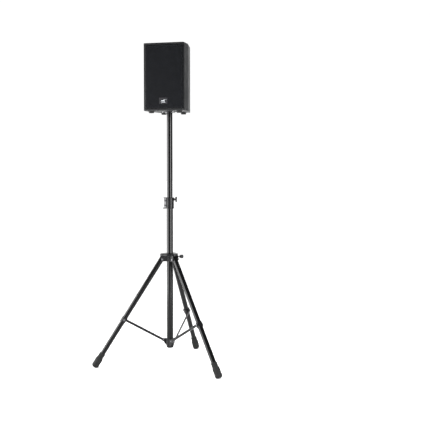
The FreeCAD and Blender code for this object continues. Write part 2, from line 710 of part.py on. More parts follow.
def woofer_magnet():
    """Ceramic ring with its steel plates and centre pole, open round the coil."""
    y0 = BAFFLE_Y[0] + 59.0
    gap_in, gap_out = COIL_R - 1.0, COIL_R + 3.0
    return about_y([
        (0, y0 + 45), (0, y0), (gap_in, y0), (gap_in, y0 + 38), (gap_out, y0 + 38),
        (gap_out, y0), (48.0, y0), (48.0, y0 + 6), (MAGNET_R, y0 + 6), (MAGNET_R, y0 + 34),
        (48.0, y0 + 34), (48.0, y0 + 45),
    ], WOOFER_Z)


def rectangle(w, h, y):
    corners = [V(-w / 2, y, -h / 2), V(w / 2, y, -h / 2), V(w / 2, y, h / 2), V(-w / 2, y, h / 2)]
    return Part.makePolygon(corners + corners[:1])


def horn():
    """Flange and flaring throat."""
    front = BAFFLE_Y[0]
    wall = 3.0
    flange = block(-HORN_SIZE[0] / 2, HORN_SIZE[0] / 2, front - FLANGE_T, front,
                   HORN_Z - HORN_SIZE[1] / 2, HORN_Z + HORN_SIZE[1] / 2)
    flange = eased(flange, 8.0, lambda b: b.YLength > 1)
    w, h = HORN_MOUTH
    bodies = []
    for grow in (wall, 0.0):
        sections = [
            rectangle(w + 2 * grow, h + 2 * grow, front - (0 if grow else FLANGE_T + 0.5)),
            rectangle(w * 0.52 + 2 * grow, h * 0.72 + 2 * grow, front + HORN_DEPTH * 0.42),
            rectangle(HORN_THROAT + 2 * grow, HORN_THROAT + 2 * grow, front + HORN_DEPTH),
        ]
        flare = Part.makeLoft(sections, True, True)
        flare.translate(V(0, 0, HORN_Z))
        bodies.append(flare)
    shape = flange.fuse(bodies[0]).cut(bodies[1])
    for x, z in horn_screw_places():
        shape = shape.cut(rod(FRONT_SCREW_R, V(x, front - 9, z), V(x, front + 1, z)))
    return shape


def compression_driver():
    y0 = BAFFLE_Y[0] + HORN_DEPTH
    return about_y([
        (0, y0 + 46), (0, y0 + 8), (HORN_THROAT / 2, y0 + 6), (HORN_THROAT / 2, y0), (24.0, y0),
        (24.0, y0 + 5), (DRIVER_R, y0 + 9), (DRIVER_R, y0 + 32), (DRIVER_R - 8, y0 + 40),
        (DRIVER_R - 8, y0 + 46),
    ], HORN_Z)


def front_screws():
    """Pan-head screws that hold the woofer and the horn to the baffle."""
    face = BAFFLE_Y[0] - FLANGE_T
    screws = []
    for x, z in woofer_screw_places() + horn_screw_places():
        head = rod(3.6, V(x, face, z), V(x, face - 2.2, z))
        shank = rod(FRONT_SCREW_R, V(x, face, z), V(x, face + 14, z))
        screws.append(fuse([head, shank]))
    return group(screws)


# ---------------------------------------------------------------- crossover and rear

def crossover():
    """Circuit board on the bottom panel with its coils and capacitors."""
    z0 = CAB_Z[0] + PANEL
    board = block(-70, -30, -52, 52, z0 + 6, z0 + 7.6)
    pillars = [rod(3.0, V(x, y, z0), V(x, y, z0 + 6)) for x in (-64, -36) for y in (-46, 46)]
    coils = [tube(14.0, 5.0, z0 + 7.6, z0 + 24) for _ in (0, 1)]
    coils[0].translate(V(-50, -30, 0))
    coils[1].translate(V(-50, 4, 0))
    capacitors = [rod(6.0, V(-60, y, z0 + 13.2), V(-38, y, z0 + 13.2)) for y in (27, 42)]
    return fuse([board] + pillars + coils + capacitors)


def plate_screw_places():
    x, z = PLATE_SIZE[0] / 2 - 5, PLATE_SIZE[1] / 2 - 5
    return [(sx * x, CAB_BACK, PLATE_Z + sz * z) for sx in (-1, 1) for sz in (-1, 1)]


def connector_plate():
    """Steel plate over the opening in the back panel, with a hole for each socket."""
    w, h = PLATE_SIZE[0] / 2, PLATE_SIZE[1] / 2
    plate = block(-w, w, CAB_BACK, CAB_BACK + PLATE_T, PLATE_Z - h, PLATE_Z + h)
    plate = eased(plate, 4.0, lambda b: b.YLength > 1)
    for x in (-CONNECTOR_X, CONNECTOR_X):
        plate = plate.cut(rod(SOCKET_BARREL_R, V(x, CAB_BACK - 1, PLATE_Z), V(x, CAB_BACK + 3, PLATE_Z)))
    for x, y, z in plate_screw_places():
        plate = plate.cut(rod(PLATE_SCREW_R, V(x, y - 1, z), V(x, y + 3, z)))
    return plate


def twist_lock_socket(x):
    """Round speaker socket: flange, barrel and keyed core."""
    face = CAB_BACK + PLATE_T
    deep = face - CONNECTOR_DEPTH
    flange = block(x - 16, x + 16, face, face + 1.5, PLATE_Z - 16, PLATE_Z + 16)
    flange = eased(flange, 4.0, lambda b: b.YLength > 1)
    barrel = rod(SOCKET_BARREL_R, V(x, deep - 4, PLATE_Z), V(x, face, PLATE_Z))
    bore = rod(CONNECTOR_BORE_R, V(x, deep, PLATE_Z), V(x, face + 5, PLATE_Z))
    core = rod(6.5, V(x, deep - 1, PLATE_Z), V(x, face - 2, PLATE_Z))
    key = block(x - 1.5, x + 1.5, deep - 1, face - 3, PLATE_Z + 5, PLATE_Z + 8.5)
    return flange.fuse(barrel).cut(bore).fuse(core).fuse(key).removeSplitter()


def jack_socket(x):
    """Quarter-inch jack socket: barrel, flat washer and hexagon nut."""
    face = CAB_BACK + PLATE_T
    deep = face - JACK_DEPTH
    nut = hex_head(17.0, 3.0, V(x, face + 1, PLATE_Z), V(0, 1, 0))
    washer = rod(15.0, V(x, face, PLATE_Z), V(x, face + 1, PLATE_Z))
    barrel = rod(SOCKET_BARREL_R, V(x, deep, PLATE_Z), V(x, face, PLATE_Z))
    bore = rod(JACK_BORE_R, V(x, deep - 1, PLATE_Z), V(x, face + 9, PLATE_Z))
    return fuse([nut, washer, barrel]).cut(bore)


def connector_sockets():
    return group([twist_lock_socket(-CONNECTOR_X), jack_socket(CONNECTOR_X)])


def insert_places():
    return [(sx * INSERT_DX / 2, INSERT_MID_Z + sz * INSERT_DZ / 2) for sx in (-1, 1) for sz in (-1, 1)]


def bracket_inserts():
    """Threaded steel inserts in the back for a wall bracket."""
    inserts = []
    for x, z in insert_places():
        sleeve = rod(INSERT_R + 1.5, V(x, CAB_BACK - PANEL, z), V(x, CAB_BACK, z))
        bore = rod(INSERT_R, V(x, CAB_BACK - PANEL - 1, z), V(x, CAB_BACK + 1, z))
        inserts.append(sleeve.cut(bore))
    return group(inserts)


# ---------------------------------------------------------------- pole socket and feet

def socket_screw_places():
    places = []
    for i in range(4):
        a = math.radians(45 + 90 * i)
        places.append((44.0 * math.cos(a), 44.0 * math.sin(a)))
    return places


def pole_socket():
    """Cup for the pole, with a flange screwed under the bottom panel."""
    z0 = CAB_Z[0] - SOCKET_FLANGE_T
    cup = tube(SOCKET_R, 0, z0, SOCKET_TOP)
    flange = tube(SOCKET_FLANGE_R, 0, z0, CAB_Z[0])
    flange = eased(flange, 1.5, lambda b: b.ZMax < z0 + 0.1)
    shape = flange.fuse(cup).removeSplitter()
    shape = shape.cut(tube(SOCKET_BORE_R, 0, z0 - 1, POLE_Z[1] + 4 + AIR))
    for x, y in socket_screw_places():
        shape = shape.cut(rod(SHELL_SCREW_R, V(x, y, z0 - 1), V(x, y, CAB_Z[0] + 1)))
    return shape


def cabinet_feet():
    feet = []
    z1 = CAB_Z[0]
    for x, y in feet_places():
        foot = turned([
            (2.0, z1), (CAB_FOOT_R, z1), (CAB_FOOT_R - 2.5, z1 - CAB_FOOT_H),
            (7.0, z1 - CAB_FOOT_H), (7.0, z1 - CAB_FOOT_H + 5), (2.0, z1 - CAB_FOOT_H + 5),
        ])
        foot.translate(V(x, y, 0))
        feet.append(foot)
    return group(feet)


def shell_screws():
    """Screws of the rubber feet, the pole socket and the connector plate."""
    z1 = CAB_Z[0]
    screws = []
    for x, y in feet_places():
        seat = z1 - CAB_FOOT_H + 5
        head = rod(5.0, V(x, y, seat - 2.5), V(x, y, seat))
        screws.append(fuse([head, rod(SHELL_SCREW_R, V(x, y, seat), V(x, y, z1 + SHELL_SCREW_DEPTH))]))
    for x, y in socket_screw_places():
        seat = z1 - SOCKET_FLANGE_T
        head = rod(4.0, V(x, y, seat - 2.2), V(x, y, seat))
        screws.append(fuse([head, rod(SHELL_SCREW_R, V(x, y, seat), V(x, y, z1 + SHELL_SCREW_DEPTH))]))
    for x, y, z in plate_screw_places():
        head = rod(3.5, V(x, y + PLATE_T, z), V(x, y + PLATE_T + 2, z))
        screws.append(fuse([head, rod(PLATE_SCREW_R, V(x, y + PLATE_T, z), V(x, y - 9, z))]))
    return group(screws)


# ---------------------------------------------------------------- assembly

def build_nodes():
    """Every node by name, drawn about the pole's axis."""
    nodes = {
        "outer_tube": outer_tube(),
        "bottom_hub": bottom_hub(),
        "strut_pivot_rivets": strut_pivot_rivets(),
        "collar_body": collar_body(),
        "collar_liner": collar_liner(),
        "clamp_cheeks": clamp_cheeks(),
        "clamp_bolts": clamp_bolts(),
        "collar_screw": collar_screw(),
        "collar_knob": collar_knob(),
        "leg_hub": leg_hub(),
        "hub_liner": hub_liner(),
        "leg_pivot_bolts": leg_pivot_bolts(),
        "hub_screw": hub_screw(),
        "hub_knob": hub_knob(),
    }
    for name, azimuth in LEG_AZIMUTHS.items():
        nodes["leg_tube_" + name] = at_azimuth(leg_tube(), azimuth)
        nodes["leg_foot_" + name] = at_azimuth(leg_foot(), azimuth)
        nodes["strut_bracket_" + name] = at_azimuth(strut_bracket(), azimuth)
        nodes["bracket_bolt_" + name] = at_azimuth(bracket_bolt(), azimuth)
        nodes["strut_" + name] = at_azimuth(strut(), azimuth)
        nodes["strut_pin_" + name] = at_azimuth(strut_pin(), azimuth)
    nodes.update({
        "inner_pole": inner_pole(),
        "pole_glide": pole_glide(),
        "pole_cap": pole_cap(),
        "top_panel": top_panel(),
        "bottom_panel": bottom_panel(),
        "left_panel": side_panel(-1),
        "right_panel": side_panel(1),
        "back_panel": back_panel(),
        "baffle": baffle(),
        "grille": grille(),
        "grille_foam": grille_foam(),
        "badge": badge(),
        "woofer_basket": woofer_basket(),
        "woofer_surround": woofer_surround(),
        "woofer_cone": woofer_cone(),
        "voice_coil": voice_coil(),
        "woofer_spider": woofer_spider(),
        "woofer_magnet": woofer_magnet(),
        "horn": horn(),
        "compression_driver": compression_driver(),
        "front_screws": front_screws(),
        "crossover": crossover(),
        "connector_plate": connector_plate(),
        "connector_sockets": connector_sockets(),
        "bracket_inserts": bracket_inserts(),
        "pole_socket": pole_socket(),
        "cabinet_feet": cabinet_feet(),
        "shell_screws": shell_screws(),
    })
    return nodes


def footprint_middle(nodes):
    """Middle of the box round the three feet, on the floor."""
    feet = Part.makeCompound([nodes["leg_foot_" + name] for name in LEG_AZIMUTHS])
    box = feet.optimalBoundingBox(False)
    return V((box.XMin + box.XMax) / 2, (box.YMin + box.YMax) / 2, 0)


def write_parts():
    os.makedirs("parts", exist_ok=True)
    nodes = build_nodes()
    middle = footprint_middle(nodes)
    print("pole axis at", round(-middle.x, 3), round(-middle.y, 3))
    for name, shape in nodes.items():
        shape = shape.copy()
        shape.translate(V(-middle.x, -middle.y, 0))
        sound = shape.isValid() and all(s.isClosed() for s in shape.Shells)
        print(name, len(shape.Solids), round(shape.Volume), "" if sound else "NOT SOUND")
        shape.exportStep("parts/" + name + ".step")


if __name__ == "__main__":
    write_parts()
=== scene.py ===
import bpy
import bmesh
import json
import math
from mathutils import Matrix, Vector
from mathutils.geometry import tessellate_polygon


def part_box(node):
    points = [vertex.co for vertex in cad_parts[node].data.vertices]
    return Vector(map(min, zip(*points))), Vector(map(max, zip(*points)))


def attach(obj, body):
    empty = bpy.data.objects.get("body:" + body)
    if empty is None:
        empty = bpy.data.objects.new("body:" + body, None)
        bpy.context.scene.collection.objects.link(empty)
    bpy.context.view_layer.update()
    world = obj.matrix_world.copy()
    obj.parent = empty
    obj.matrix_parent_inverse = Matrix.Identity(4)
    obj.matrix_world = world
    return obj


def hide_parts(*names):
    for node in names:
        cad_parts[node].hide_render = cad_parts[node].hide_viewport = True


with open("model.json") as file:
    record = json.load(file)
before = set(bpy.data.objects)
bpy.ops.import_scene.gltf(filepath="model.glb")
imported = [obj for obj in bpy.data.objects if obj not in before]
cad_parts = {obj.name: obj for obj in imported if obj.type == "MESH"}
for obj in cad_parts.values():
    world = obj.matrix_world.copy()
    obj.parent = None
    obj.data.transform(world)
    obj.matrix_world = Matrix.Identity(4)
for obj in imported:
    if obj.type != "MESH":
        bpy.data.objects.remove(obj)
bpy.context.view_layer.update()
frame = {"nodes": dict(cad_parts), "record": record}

# A small black loudspeaker on a telescoping tripod stand. Metres, +Z up, cabinet front facing -Y.

NODES = frame["nodes"]
MM = 0.001


def middle(node):
    low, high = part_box(node)
    return (Vector(low) + Vector(high)) / 2


POLE = middle("inner_pole")
POLE.z = 0.0


# ---------------------------------------------------------------- materials

class Finish:
    """One material and the few node steps that its pattern needs."""

    def __init__(self, name, color, roughness, metallic=0.0, ior=1.45):
        self.material = bpy.data.materials.new(name)
        self.material.use_nodes = True
        self.nodes = self.material.node_tree.nodes
        self.links = self.material.node_tree.links
        self.shader = self.nodes["Principled BSDF"]
        self.shader.inputs["Base Color"].default_value = (*color, 1.0)
        self.shader.inputs["Roughness"].default_value = roughness
        self.shader.inputs["Metallic"].default_value = metallic
        self.shader.inputs["IOR"].default_value = ior
        self.place = self.add("ShaderNodeTexCoord").outputs["Object"]
        self.normal = None

    def add(self, kind, **settings):
        node = self.nodes.new(kind)
        for key, value in settings.items():
            setattr(node, key, value)
        return node

    def noise(self, scale, detail=3.0, rough=0.5, stretch=(1.0, 1.0, 1.0)):
        """Noise in the piece's own place, in features per metre, and longer along an axis if stretched."""
        mapping = self.add("ShaderNodeMapping")
        mapping.inputs["Scale"].default_value = stretch
        self.links.new(self.place, mapping.inputs["Vector"])
        node = self.add("ShaderNodeTexNoise")
        node.inputs["Scale"].default_value = scale
        node.inputs["Detail"].default_value = detail
        node.inputs["Roughness"].default_value = rough
        self.links.new(mapping.outputs["Vector"], node.inputs["Vector"])
        return node.outputs["Fac"]

    def cells(self, scale, randomness=1.0):
        node = self.add("ShaderNodeTexVoronoi")
        node.inputs["Scale"].default_value = scale
        node.inputs["Randomness"].default_value = randomness
        self.links.new(self.place, node.inputs["Vector"])
        return node.outputs["Distance"]

    def between(self, field, low, high, out_low=0.0, out_high=1.0):
        node = self.add("ShaderNodeMapRange")
        self.links.new(field, node.inputs["Value"])
        node.inputs["From Min"].default_value = low
        node.inputs["From Max"].default_value = high
        node.inputs["To Min"].default_value = out_low
        node.inputs["To Max"].default_value = out_high
        return node.outputs["Result"]

    def shade(self, field, dark, light):
        """Base colour that goes from one colour to another with a field."""
        mix = self.add("ShaderNodeMix", data_type="RGBA")
        self.links.new(field, mix.inputs["Factor"])
        mix.inputs["A"].default_value = (*dark, 1.0)
        mix.inputs["B"].default_value = (*light, 1.0)
        self.links.new(mix.outputs["Result"], self.shader.inputs["Base Color"])
        return self

    def sheen_of(self, field, low, high, rough_low, rough_high):
        """Roughness that follows a field."""
        self.links.new(self.between(field, low, high, rough_low, rough_high), self.shader.inputs["Roughness"])
        return self

    def relief(self, field, depth, strength=1.0):
        """Bump of a depth in metres, on top of any bump before it."""
        bump = self.add("ShaderNodeBump")
        bump.inputs["Strength"].default_value = strength
        bump.inputs["Distance"].default_value = depth
        self.links.new(field, bump.inputs["Height"])
        if self.normal is not None:
            self.links.new(self.normal, bump.inputs["Normal"])
        self.normal = bump.outputs["Normal"]
        self.links.new(self.normal, self.shader.inputs["Normal"])
        return self


def scaled(color, factor):
    return tuple(channel * factor for channel in color)


def gloss_paint(name, color, roughness):
    """Gloss powder coat on tube: a faint orange peel, dust and handling haze."""
    f = Finish(name, color, roughness, ior=1.28)
    haze = f.noise(9.0, detail=4.0, stretch=(1.0, 1.0, 0.35))
    f.sheen_of(haze, 0.35, 0.7, roughness * 0.8, roughness * 1.8)
    f.shade(f.noise(60.0), scaled(color, 0.7), scaled(color, 1.4))
    f.relief(f.noise(260.0, detail=1.0), 0.000006, 0.5)
    return f.material


def textured_paint(name, color, roughness, grain=520.0, depth=0.00022):
    """Hammered, fine-textured paint of a cabinet, with painted shade in the hollows of the texture, so it is a
    little lighter on its high spots.
    """
    f = Finish(name, color, roughness, ior=1.28)
    spot_relief_and_painted_shade = f.cells(grain)
    fine = f.noise(grain * 2.3, detail=2.0)
    worn = f.noise(7.0, detail=5.0, rough=0.6)
    # painted shade: the colour is darker in the texture's hollows and lighter on its high spots
    f.shade(f.between(spot_relief_and_painted_shade, 0.1, 0.7), scaled(color, 1.25), scaled(color, 0.75))
    f.sheen_of(worn, 0.3, 0.7, roughness - 0.06, roughness + 0.1)
    f.relief(f.between(spot_relief_and_painted_shade, 0.0, 0.75, 1.0, 0.0), depth)
    f.relief(fine, depth * 0.5, 0.6)
    return f.material


def moulded(name, color, roughness, grain=900.0, depth=0.00006, ior=1.45):
    """Moulded plastic with a spark-eroded grain and slight flow marks."""
    f = Finish(name, color, roughness, ior=ior)
    flow = f.noise(22.0, detail=3.0, rough=0.6)
    f.shade(flow, scaled(color, 0.8), scaled(color, 1.3))
    f.sheen_of(flow, 0.3, 0.7, roughness * 0.85, min(1.0, roughness * 1.2))
    f.relief(f.noise(grain, detail=2.0), depth)
    return f.material


def rubber(name, color, roughness=0.75):
    """Matt rubber with a dusty bloom."""
    f = Finish(name, color, roughness, ior=1.25)
    bloom = f.noise(70.0, detail=5.0, rough=0.65)
    f.shade(f.between(bloom, 0.4, 0.75), scaled(color, 0.75), scaled(color, 1.9))
    f.sheen_of(bloom, 0.3, 0.7, roughness - 0.15, roughness + 0.1)
    f.relief(f.noise(700.0, detail=3.0), 0.00012)
    return f.material


def bright_metal(name, color, roughness):
    """Zinc-plated steel: soft cloudy plating and fine turning marks."""
    f = Finish(name, color, roughness, metallic=1.0)
    cloud = f.noise(160.0, detail=4.0)
    f.shade(cloud, scaled(color, 0.78), scaled(color, 1.08))
    f.sheen_of(cloud, 0.3, 0.7, roughness * 0.8, roughness * 1.5)
    f.relief(f.noise(2600.0, detail=1.0, stretch=(1.0, 1.0, 0.15)), 0.00001, 0.5)
    return f.material


def grille_paint():
    """Satin powder coat on the perforated sheet, with faint speckle."""
    color = (0.0045, 0.005, 0.0063)
    f = Finish("grille_powder_coat", color, 0.45, ior=1.21)
    mottle = f.noise(130.0, detail=3.0, rough=0.75)
    f.shade(f.between(mottle, 0.35, 0.65), scaled(color, 0.75), scaled(color, 1.3))
    f.sheen_of(f.noise(30.0), 0.3, 0.7, 0.4, 0.5)
    f.relief(f.noise(1500.0, detail=2.0), 0.00003)
    return f.material


def open_foam():
    """Open-cell black foam behind the grille, with painted shade in its pores."""
    color = (0.003, 0.003, 0.0035)
    f = Finish("black_foam", color, 0.95, ior=1.1)
    pore_relief_and_painted_shade = f.cells(900.0)
    # painted shade: the colour is darkened in the pits at the cell centres, where the bump sinks
    f.shade(f.between(pore_relief_and_painted_shade, 0.1, 0.6), scaled(color, 0.3), scaled(color, 1.8))
    f.relief(pore_relief_and_painted_shade, 0.0004)
    return f.material


def coated_paper():
    """Cone paper: felted fibre under a black coat."""
    color = (0.012, 0.012, 0.013)
    f = Finish("cone_paper", color, 0.6)
    fibre = f.noise(380.0, detail=6.0, rough=0.75)
    f.shade(fibre, scaled(color, 0.6), scaled(color, 1.8))
    f.relief(fibre, 0.00025)
    return f.material


def woven(name, color, pitch):
    """Resin-stiff cloth: a plain weave from two crossed waves."""
    f = Finish(name, color, 0.7)
    waves = []
    for direction in ("X", "Z"):
        wave = f.add("ShaderNodeTexWave", bands_direction=direction)
        wave.inputs["Scale"].default_value = 1.0 / pitch
        f.links.new(f.place, wave.inputs["Vector"])
        waves.append(wave.outputs["Fac"])
    both = f.add("ShaderNodeMath", operation="MULTIPLY")
    for i, wave in enumerate(waves):
        f.links.new(wave, both.inputs[i])
    f.shade(both.outputs["Value"], scaled(color, 0.6), scaled(color, 1.2))
    f.relief(both.outputs["Value"], 0.0003)
    return f.material


def fired_ceramic():
    """Grey-black ceramic magnet and steel plates."""
    color = (0.05, 0.05, 0.053)
    f = Finish("magnet", color, 0.55, metallic=0.3)
    f.shade(f.noise(130.0, detail=6.0, rough=0.7), scaled(color, 0.5), scaled(color, 1.5))
    f.relief(f.noise(900.0, detail=3.0), 0.00006)
    return f.material


def circuit_board():
    """Green board with paler tracks."""
    f = Finish("circuit", (0.02, 0.09, 0.04), 0.35, ior=1.5)
    tracks = f.cells(160.0, randomness=0.4)
    f.shade(f.between(tracks, 0.25, 0.3), (0.015, 0.07, 0.03), (0.05, 0.17, 0.08))
    f.relief(f.between(tracks, 0.25, 0.3), 0.00005)
    return f.material


def gloss_black():
    """Polished black plastic of the badge."""
    f = Finish("badge_gloss", (0.006, 0.006, 0.008), 0.12, ior=1.45)
    f.sheen_of(f.noise(25.0, detail=5.0), 0.3, 0.7, 0.08, 0.2)
    f.relief(f.noise(300.0, detail=1.0), 0.00002, 0.4)
    return f.material


def printed_silver():
    """Pale foil print on the badge."""
    f = Finish("badge_print", (0.62, 0.64, 0.66), 0.35, metallic=0.4)
    f.shade(f.noise(500.0), (0.5, 0.52, 0.54), (0.75, 0.77, 0.8))
    f.sheen_of(f.noise(120.0), 0.3, 0.7, 0.28, 0.45)
    return f.material


TUBE = gloss_paint("tube_gloss_black", (0.0015, 0.0015, 0.0017), 0.08)
BAR = gloss_paint("bar_satin_black", (0.003, 0.003, 0.0035), 0.2)
CASTING = moulded("casting_black", (0.004, 0.004, 0.0046), 0.3, grain=1100.0, ior=1.24)
KNOB = moulded("knob_black", (0.010, 0.010, 0.011), 0.3, grain=1400.0, depth=0.00003)
LINER = moulded("liner_nylon", (0.03, 0.03, 0.03), 0.5)
HORN = moulded("horn_black", (0.012, 0.012, 0.012), 0.42)
SOCKET = moulded("socket_black", (0.012, 0.012, 0.012), 0.32)
PLATE = textured_paint("plate_black", (0.02, 0.02, 0.021), 0.45, grain=900.0, depth=0.0001)
CABINET = textured_paint("cabinet_black", (0.006, 0.0064, 0.0072), 0.42)
BAFFLE = textured_paint("baffle_black", (0.012, 0.012, 0.012), 0.7, grain=300.0)
FOOT_RUBBER = rubber("foot_rubber", (0.008, 0.008, 0.008), 0.7)
ROLL_RUBBER = rubber("surround_rubber", (0.012, 0.012, 0.013), 0.55)
ZINC = bright_metal("bright_zinc", (0.60, 0.60, 0.62), 0.28)
DARK_ZINC = bright_metal("dark_zinc", (0.10, 0.10, 0.105), 0.33)
GREY_STEEL = bright_metal("grey_steel", (0.34, 0.34, 0.35), 0.38)
COPPER = bright_metal("copper_wire", (0.72, 0.33, 0.18), 0.3)
BASKET = moulded("basket_black", (0.02, 0.02, 0.02), 0.4, grain=600.0)
SCREW_BLACK = bright_metal("black_oxide", (0.03, 0.03, 0.032), 0.4)
GRILLE = grille_paint()
FOAM = open_foam()
PAPER = coated_paper()
CLOTH = woven("spider_cloth", (0.33, 0.22, 0.09), 0.0008)
MAGNET = fired_ceramic()
CIRCUIT = circuit_board()
BADGE = gloss_black()
PRINT = printed_silver()

SLOT_FINISH = {
    "black_tube_paint": TUBE, "black_bar_paint": BAR, "black_casting": CASTING, "grey_steel": GREY_STEEL,
    "bright_fasteners": DARK_ZINC, "knob_plastic": KNOB, "liner_plastic": LINER, "rubber": FOOT_RUBBER,
    "cabinet_paint": CABINET, "baffle_board": BAFFLE, "grille_paint": GRILLE, "foam": FOAM, "badge": BADGE,
    "basket_steel": BASKET, "cone_paper": PAPER, "surround_rubber": ROLL_RUBBER, "spider_cloth": CLOTH,
    "copper": COPPER, "magnet": MAGNET, "horn_plastic": HORN, "circuit": CIRCUIT, "plate_paint": PLATE,
    "socket_plastic": SOCKET, "black_screws": SCREW_BLACK, "shell_screw_steel": ZINC, "socket_metal": CASTING,
}


def finish_cad_nodes():
    """Every CAD node gets the finish of its material slot."""
    for part in frame["record"]["subparts"]:
        finish = SLOT_FINISH[part["material_slot"]]
        node = NODES[part["node"]]
        node.data.materials.clear()
        node.data.materials.append(finish)


# ---------------------------------------------------------------- pieces

def new_object(name, mesh):
    piece = bpy.data.objects.new(name, mesh)
    bpy.context.scene.collection.objects.link(piece)
    return piece


def mesh_from(shape, name):
    """A mesh from a bmesh, which is freed."""
    mesh = bpy.data.meshes.new(name)
    shape.to_mesh(mesh)
    shape.free()
    return mesh


class Value:
    """A number in a node tree that ordinary arithmetic can be written with."""

    def __init__(self, tree, socket):
        self.tree = tree
        self.socket = socket

    def step(self, operation, *others):
        node = self.tree.nodes.new("ShaderNodeMath")
        node.operation = operation
        for i, item in enumerate((self,) + others):
            if isinstance(item, Value):
                self.tree.links.new(item.socket, node.inputs[i])
            else:
                node.inputs[i].default_value = item
        return Value(self.tree, node.outputs[0])

    def __add__(self, other):
        return self.step("ADD", other)

    def __sub__(self, other):
        return self.step("SUBTRACT", other)

    def __mul__(self, other):
        return self.step("MULTIPLY", other)

    def __truediv__(self, other):
        return self.step("DIVIDE", other)


class Recipe:
    """A Geometry Nodes tree with named inputs. made() runs it on a mesh and keeps a plain mesh."""

    KINDS = {float: "NodeSocketFloat", int: "NodeSocketInt", "object": "NodeSocketObject"}

    def __init__(self, name, **inputs):
        self.name = name
        self.tree = bpy.data.node_groups.new(name, "GeometryNodeTree")
        face = self.tree.interface
        face.new_socket("Geometry", in_out="INPUT", socket_type="NodeSocketGeometry")
        self.keys = {}
        for label, kind in inputs.items():
            socket = face.new_socket(label, in_out="INPUT", socket_type=self.KINDS[kind])
            self.keys[label] = socket.identifier
        key = face.new_socket("Finish", in_out="INPUT", socket_type="NodeSocketMaterial")
        self.keys["Finish"] = key.identifier
        face.new_socket("Geometry", in_out="OUTPUT", socket_type="NodeSocketGeometry")
        self.given = self.tree.nodes.new("NodeGroupInput")
        self.result = self.tree.nodes.new("NodeGroupOutput")

    def add(self, kind, links=None, **settings):
        """A node, with sockets joined or set by name or number."""
        node = self.tree.nodes.new(kind)
        for key, value in settings.items():
            setattr(node, key, value)
        for key, source in (links or {}).items():
            socket = node.inputs[key]
            if isinstance(source, Value):
                self.tree.links.new(source.socket, socket)
            elif isinstance(source, bpy.types.NodeSocket):
                self.tree.links.new(source, socket)
            else:
                socket.default_value = source
        return node

    def input(self, label):
        return self.given.outputs[label]

    def value(self, socket):
        return Value(self.tree, socket)

    def end(self, geometry):
        """The tree ends in Realize Instances and Set Material."""
        real = self.add("GeometryNodeRealizeInstances", {"Geometry": geometry})
        painted = self.add("GeometryNodeSetMaterial",
                           {"Geometry": real.outputs["Geometry"], "Material": self.input("Finish")})
        self.tree.links.new(painted.outputs["Geometry"], self.result.inputs["Geometry"])

    def made(self, name, base_mesh, finish, **values):
        """The piece that the tree makes on a base mesh."""
        base = new_object(name + "_base", base_mesh)
        modifier = base.modifiers.new(self.name, "NODES")
        modifier.node_group = self.tree
        for label, value in dict(values, Finish=finish).items():
            modifier[self.keys[label]] = value
        bpy.context.view_layer.update()
        graph = bpy.context.evaluated_depsgraph_get()
        mesh = bpy.data.meshes.new_from_object(base.evaluated_get(graph))
        mesh.name = name
        bpy.data.objects.remove(base)
        mesh.materials.clear()
        mesh.materials.append(finish)
        mesh.polygons.foreach_set("material_index", [0] * len(mesh.polygons))
        return new_object(name, mesh)


def hidden_sample(name, mesh):
    """A small mesh that a recipe repeats. It is taken away once the recipe has run."""
    return new_object("sample_" + name, mesh)


def drop(sample):
    bpy.data.objects.remove(sample)


def smooth(piece, degrees=35.0):
    """Smooth shading with sharp edges kept."""
    piece.data.shade_smooth()
    piece.data.set_sharp_from_angle(angle=math.radians(degrees))
    return piece


# ---------------------------------------------------------------- perforated grille

HOLE_PITCH = 6.0 * MM
ROW_PITCH = 5.2 * MM
HOLE_R = 2.05 * MM
HOLE_SIDES = 12
SHEET_T = 1.2 * MM
BEND_R = 8.0 * MM


def punched_cell():
    """One brick of the sheet with a round hole: front, back and the hole's wall."""
    w, h = HOLE_PITCH / 2, ROW_PITCH / 2
    rim = [(-w, -h), (0, -h), (w, -h), (w, h), (0, h), (-w, h)]
    hole = []
    for i in range(HOLE_SIDES):
        a = 2 * math.pi * (i + 0.5) / HOLE_SIDES
        hole.append((HOLE_R * math.cos(a), HOLE_R * math.sin(a)))
    shape = bmesh.new()
    layers = []
    for y in (0.0, SHEET_T):
        layers.append([shape.verts.new((x, y, z)) for x, z in rim + hole])
    loops = [[Vector((x, z, 0)) for x, z in rim], [Vector((x, z, 0)) for x, z in hole]]
    for corners in tessellate_polygon(loops):
        a, b, c = [rim_or_hole(i, rim, hole) for i in corners]
        turn = (b[0] - a[0]) * (c[1] - a[1]) - (b[1] - a[1]) * (c[0] - a[0])
        order = corners if turn > 0 else corners[::-1]
        shape.faces.new([layers[0][i] for i in order])
        shape.faces.new([layers[1][i] for i in reversed(order)])
    first = len(rim)
    for i in range(HOLE_SIDES):
        j = (i + 1) % HOLE_SIDES
        front, back = layers
        shape.faces.new([front[first + j], front[first + i], back[first + i], back[first + j]])
    return mesh_from(shape, "punched_cell")


def rim_or_hole(i, rim, hole):
    return rim[i] if i < len(rim) else hole[i - len(rim)]


def plain_cell(width, height):
    """Two blank quads, front and back, of the unpunched edge."""
    w, h = width / 2, height / 2
    shape = bmesh.new()
    for y, order in ((0.0, 1), (SHEET_T, -1)):
        corners = [(-w, -h), (w, -h), (w, h), (-w, h)][::order]
        shape.faces.new([shape.verts.new((x, y, z)) for x, z in corners])
    return mesh_from(shape, "plain_cell")


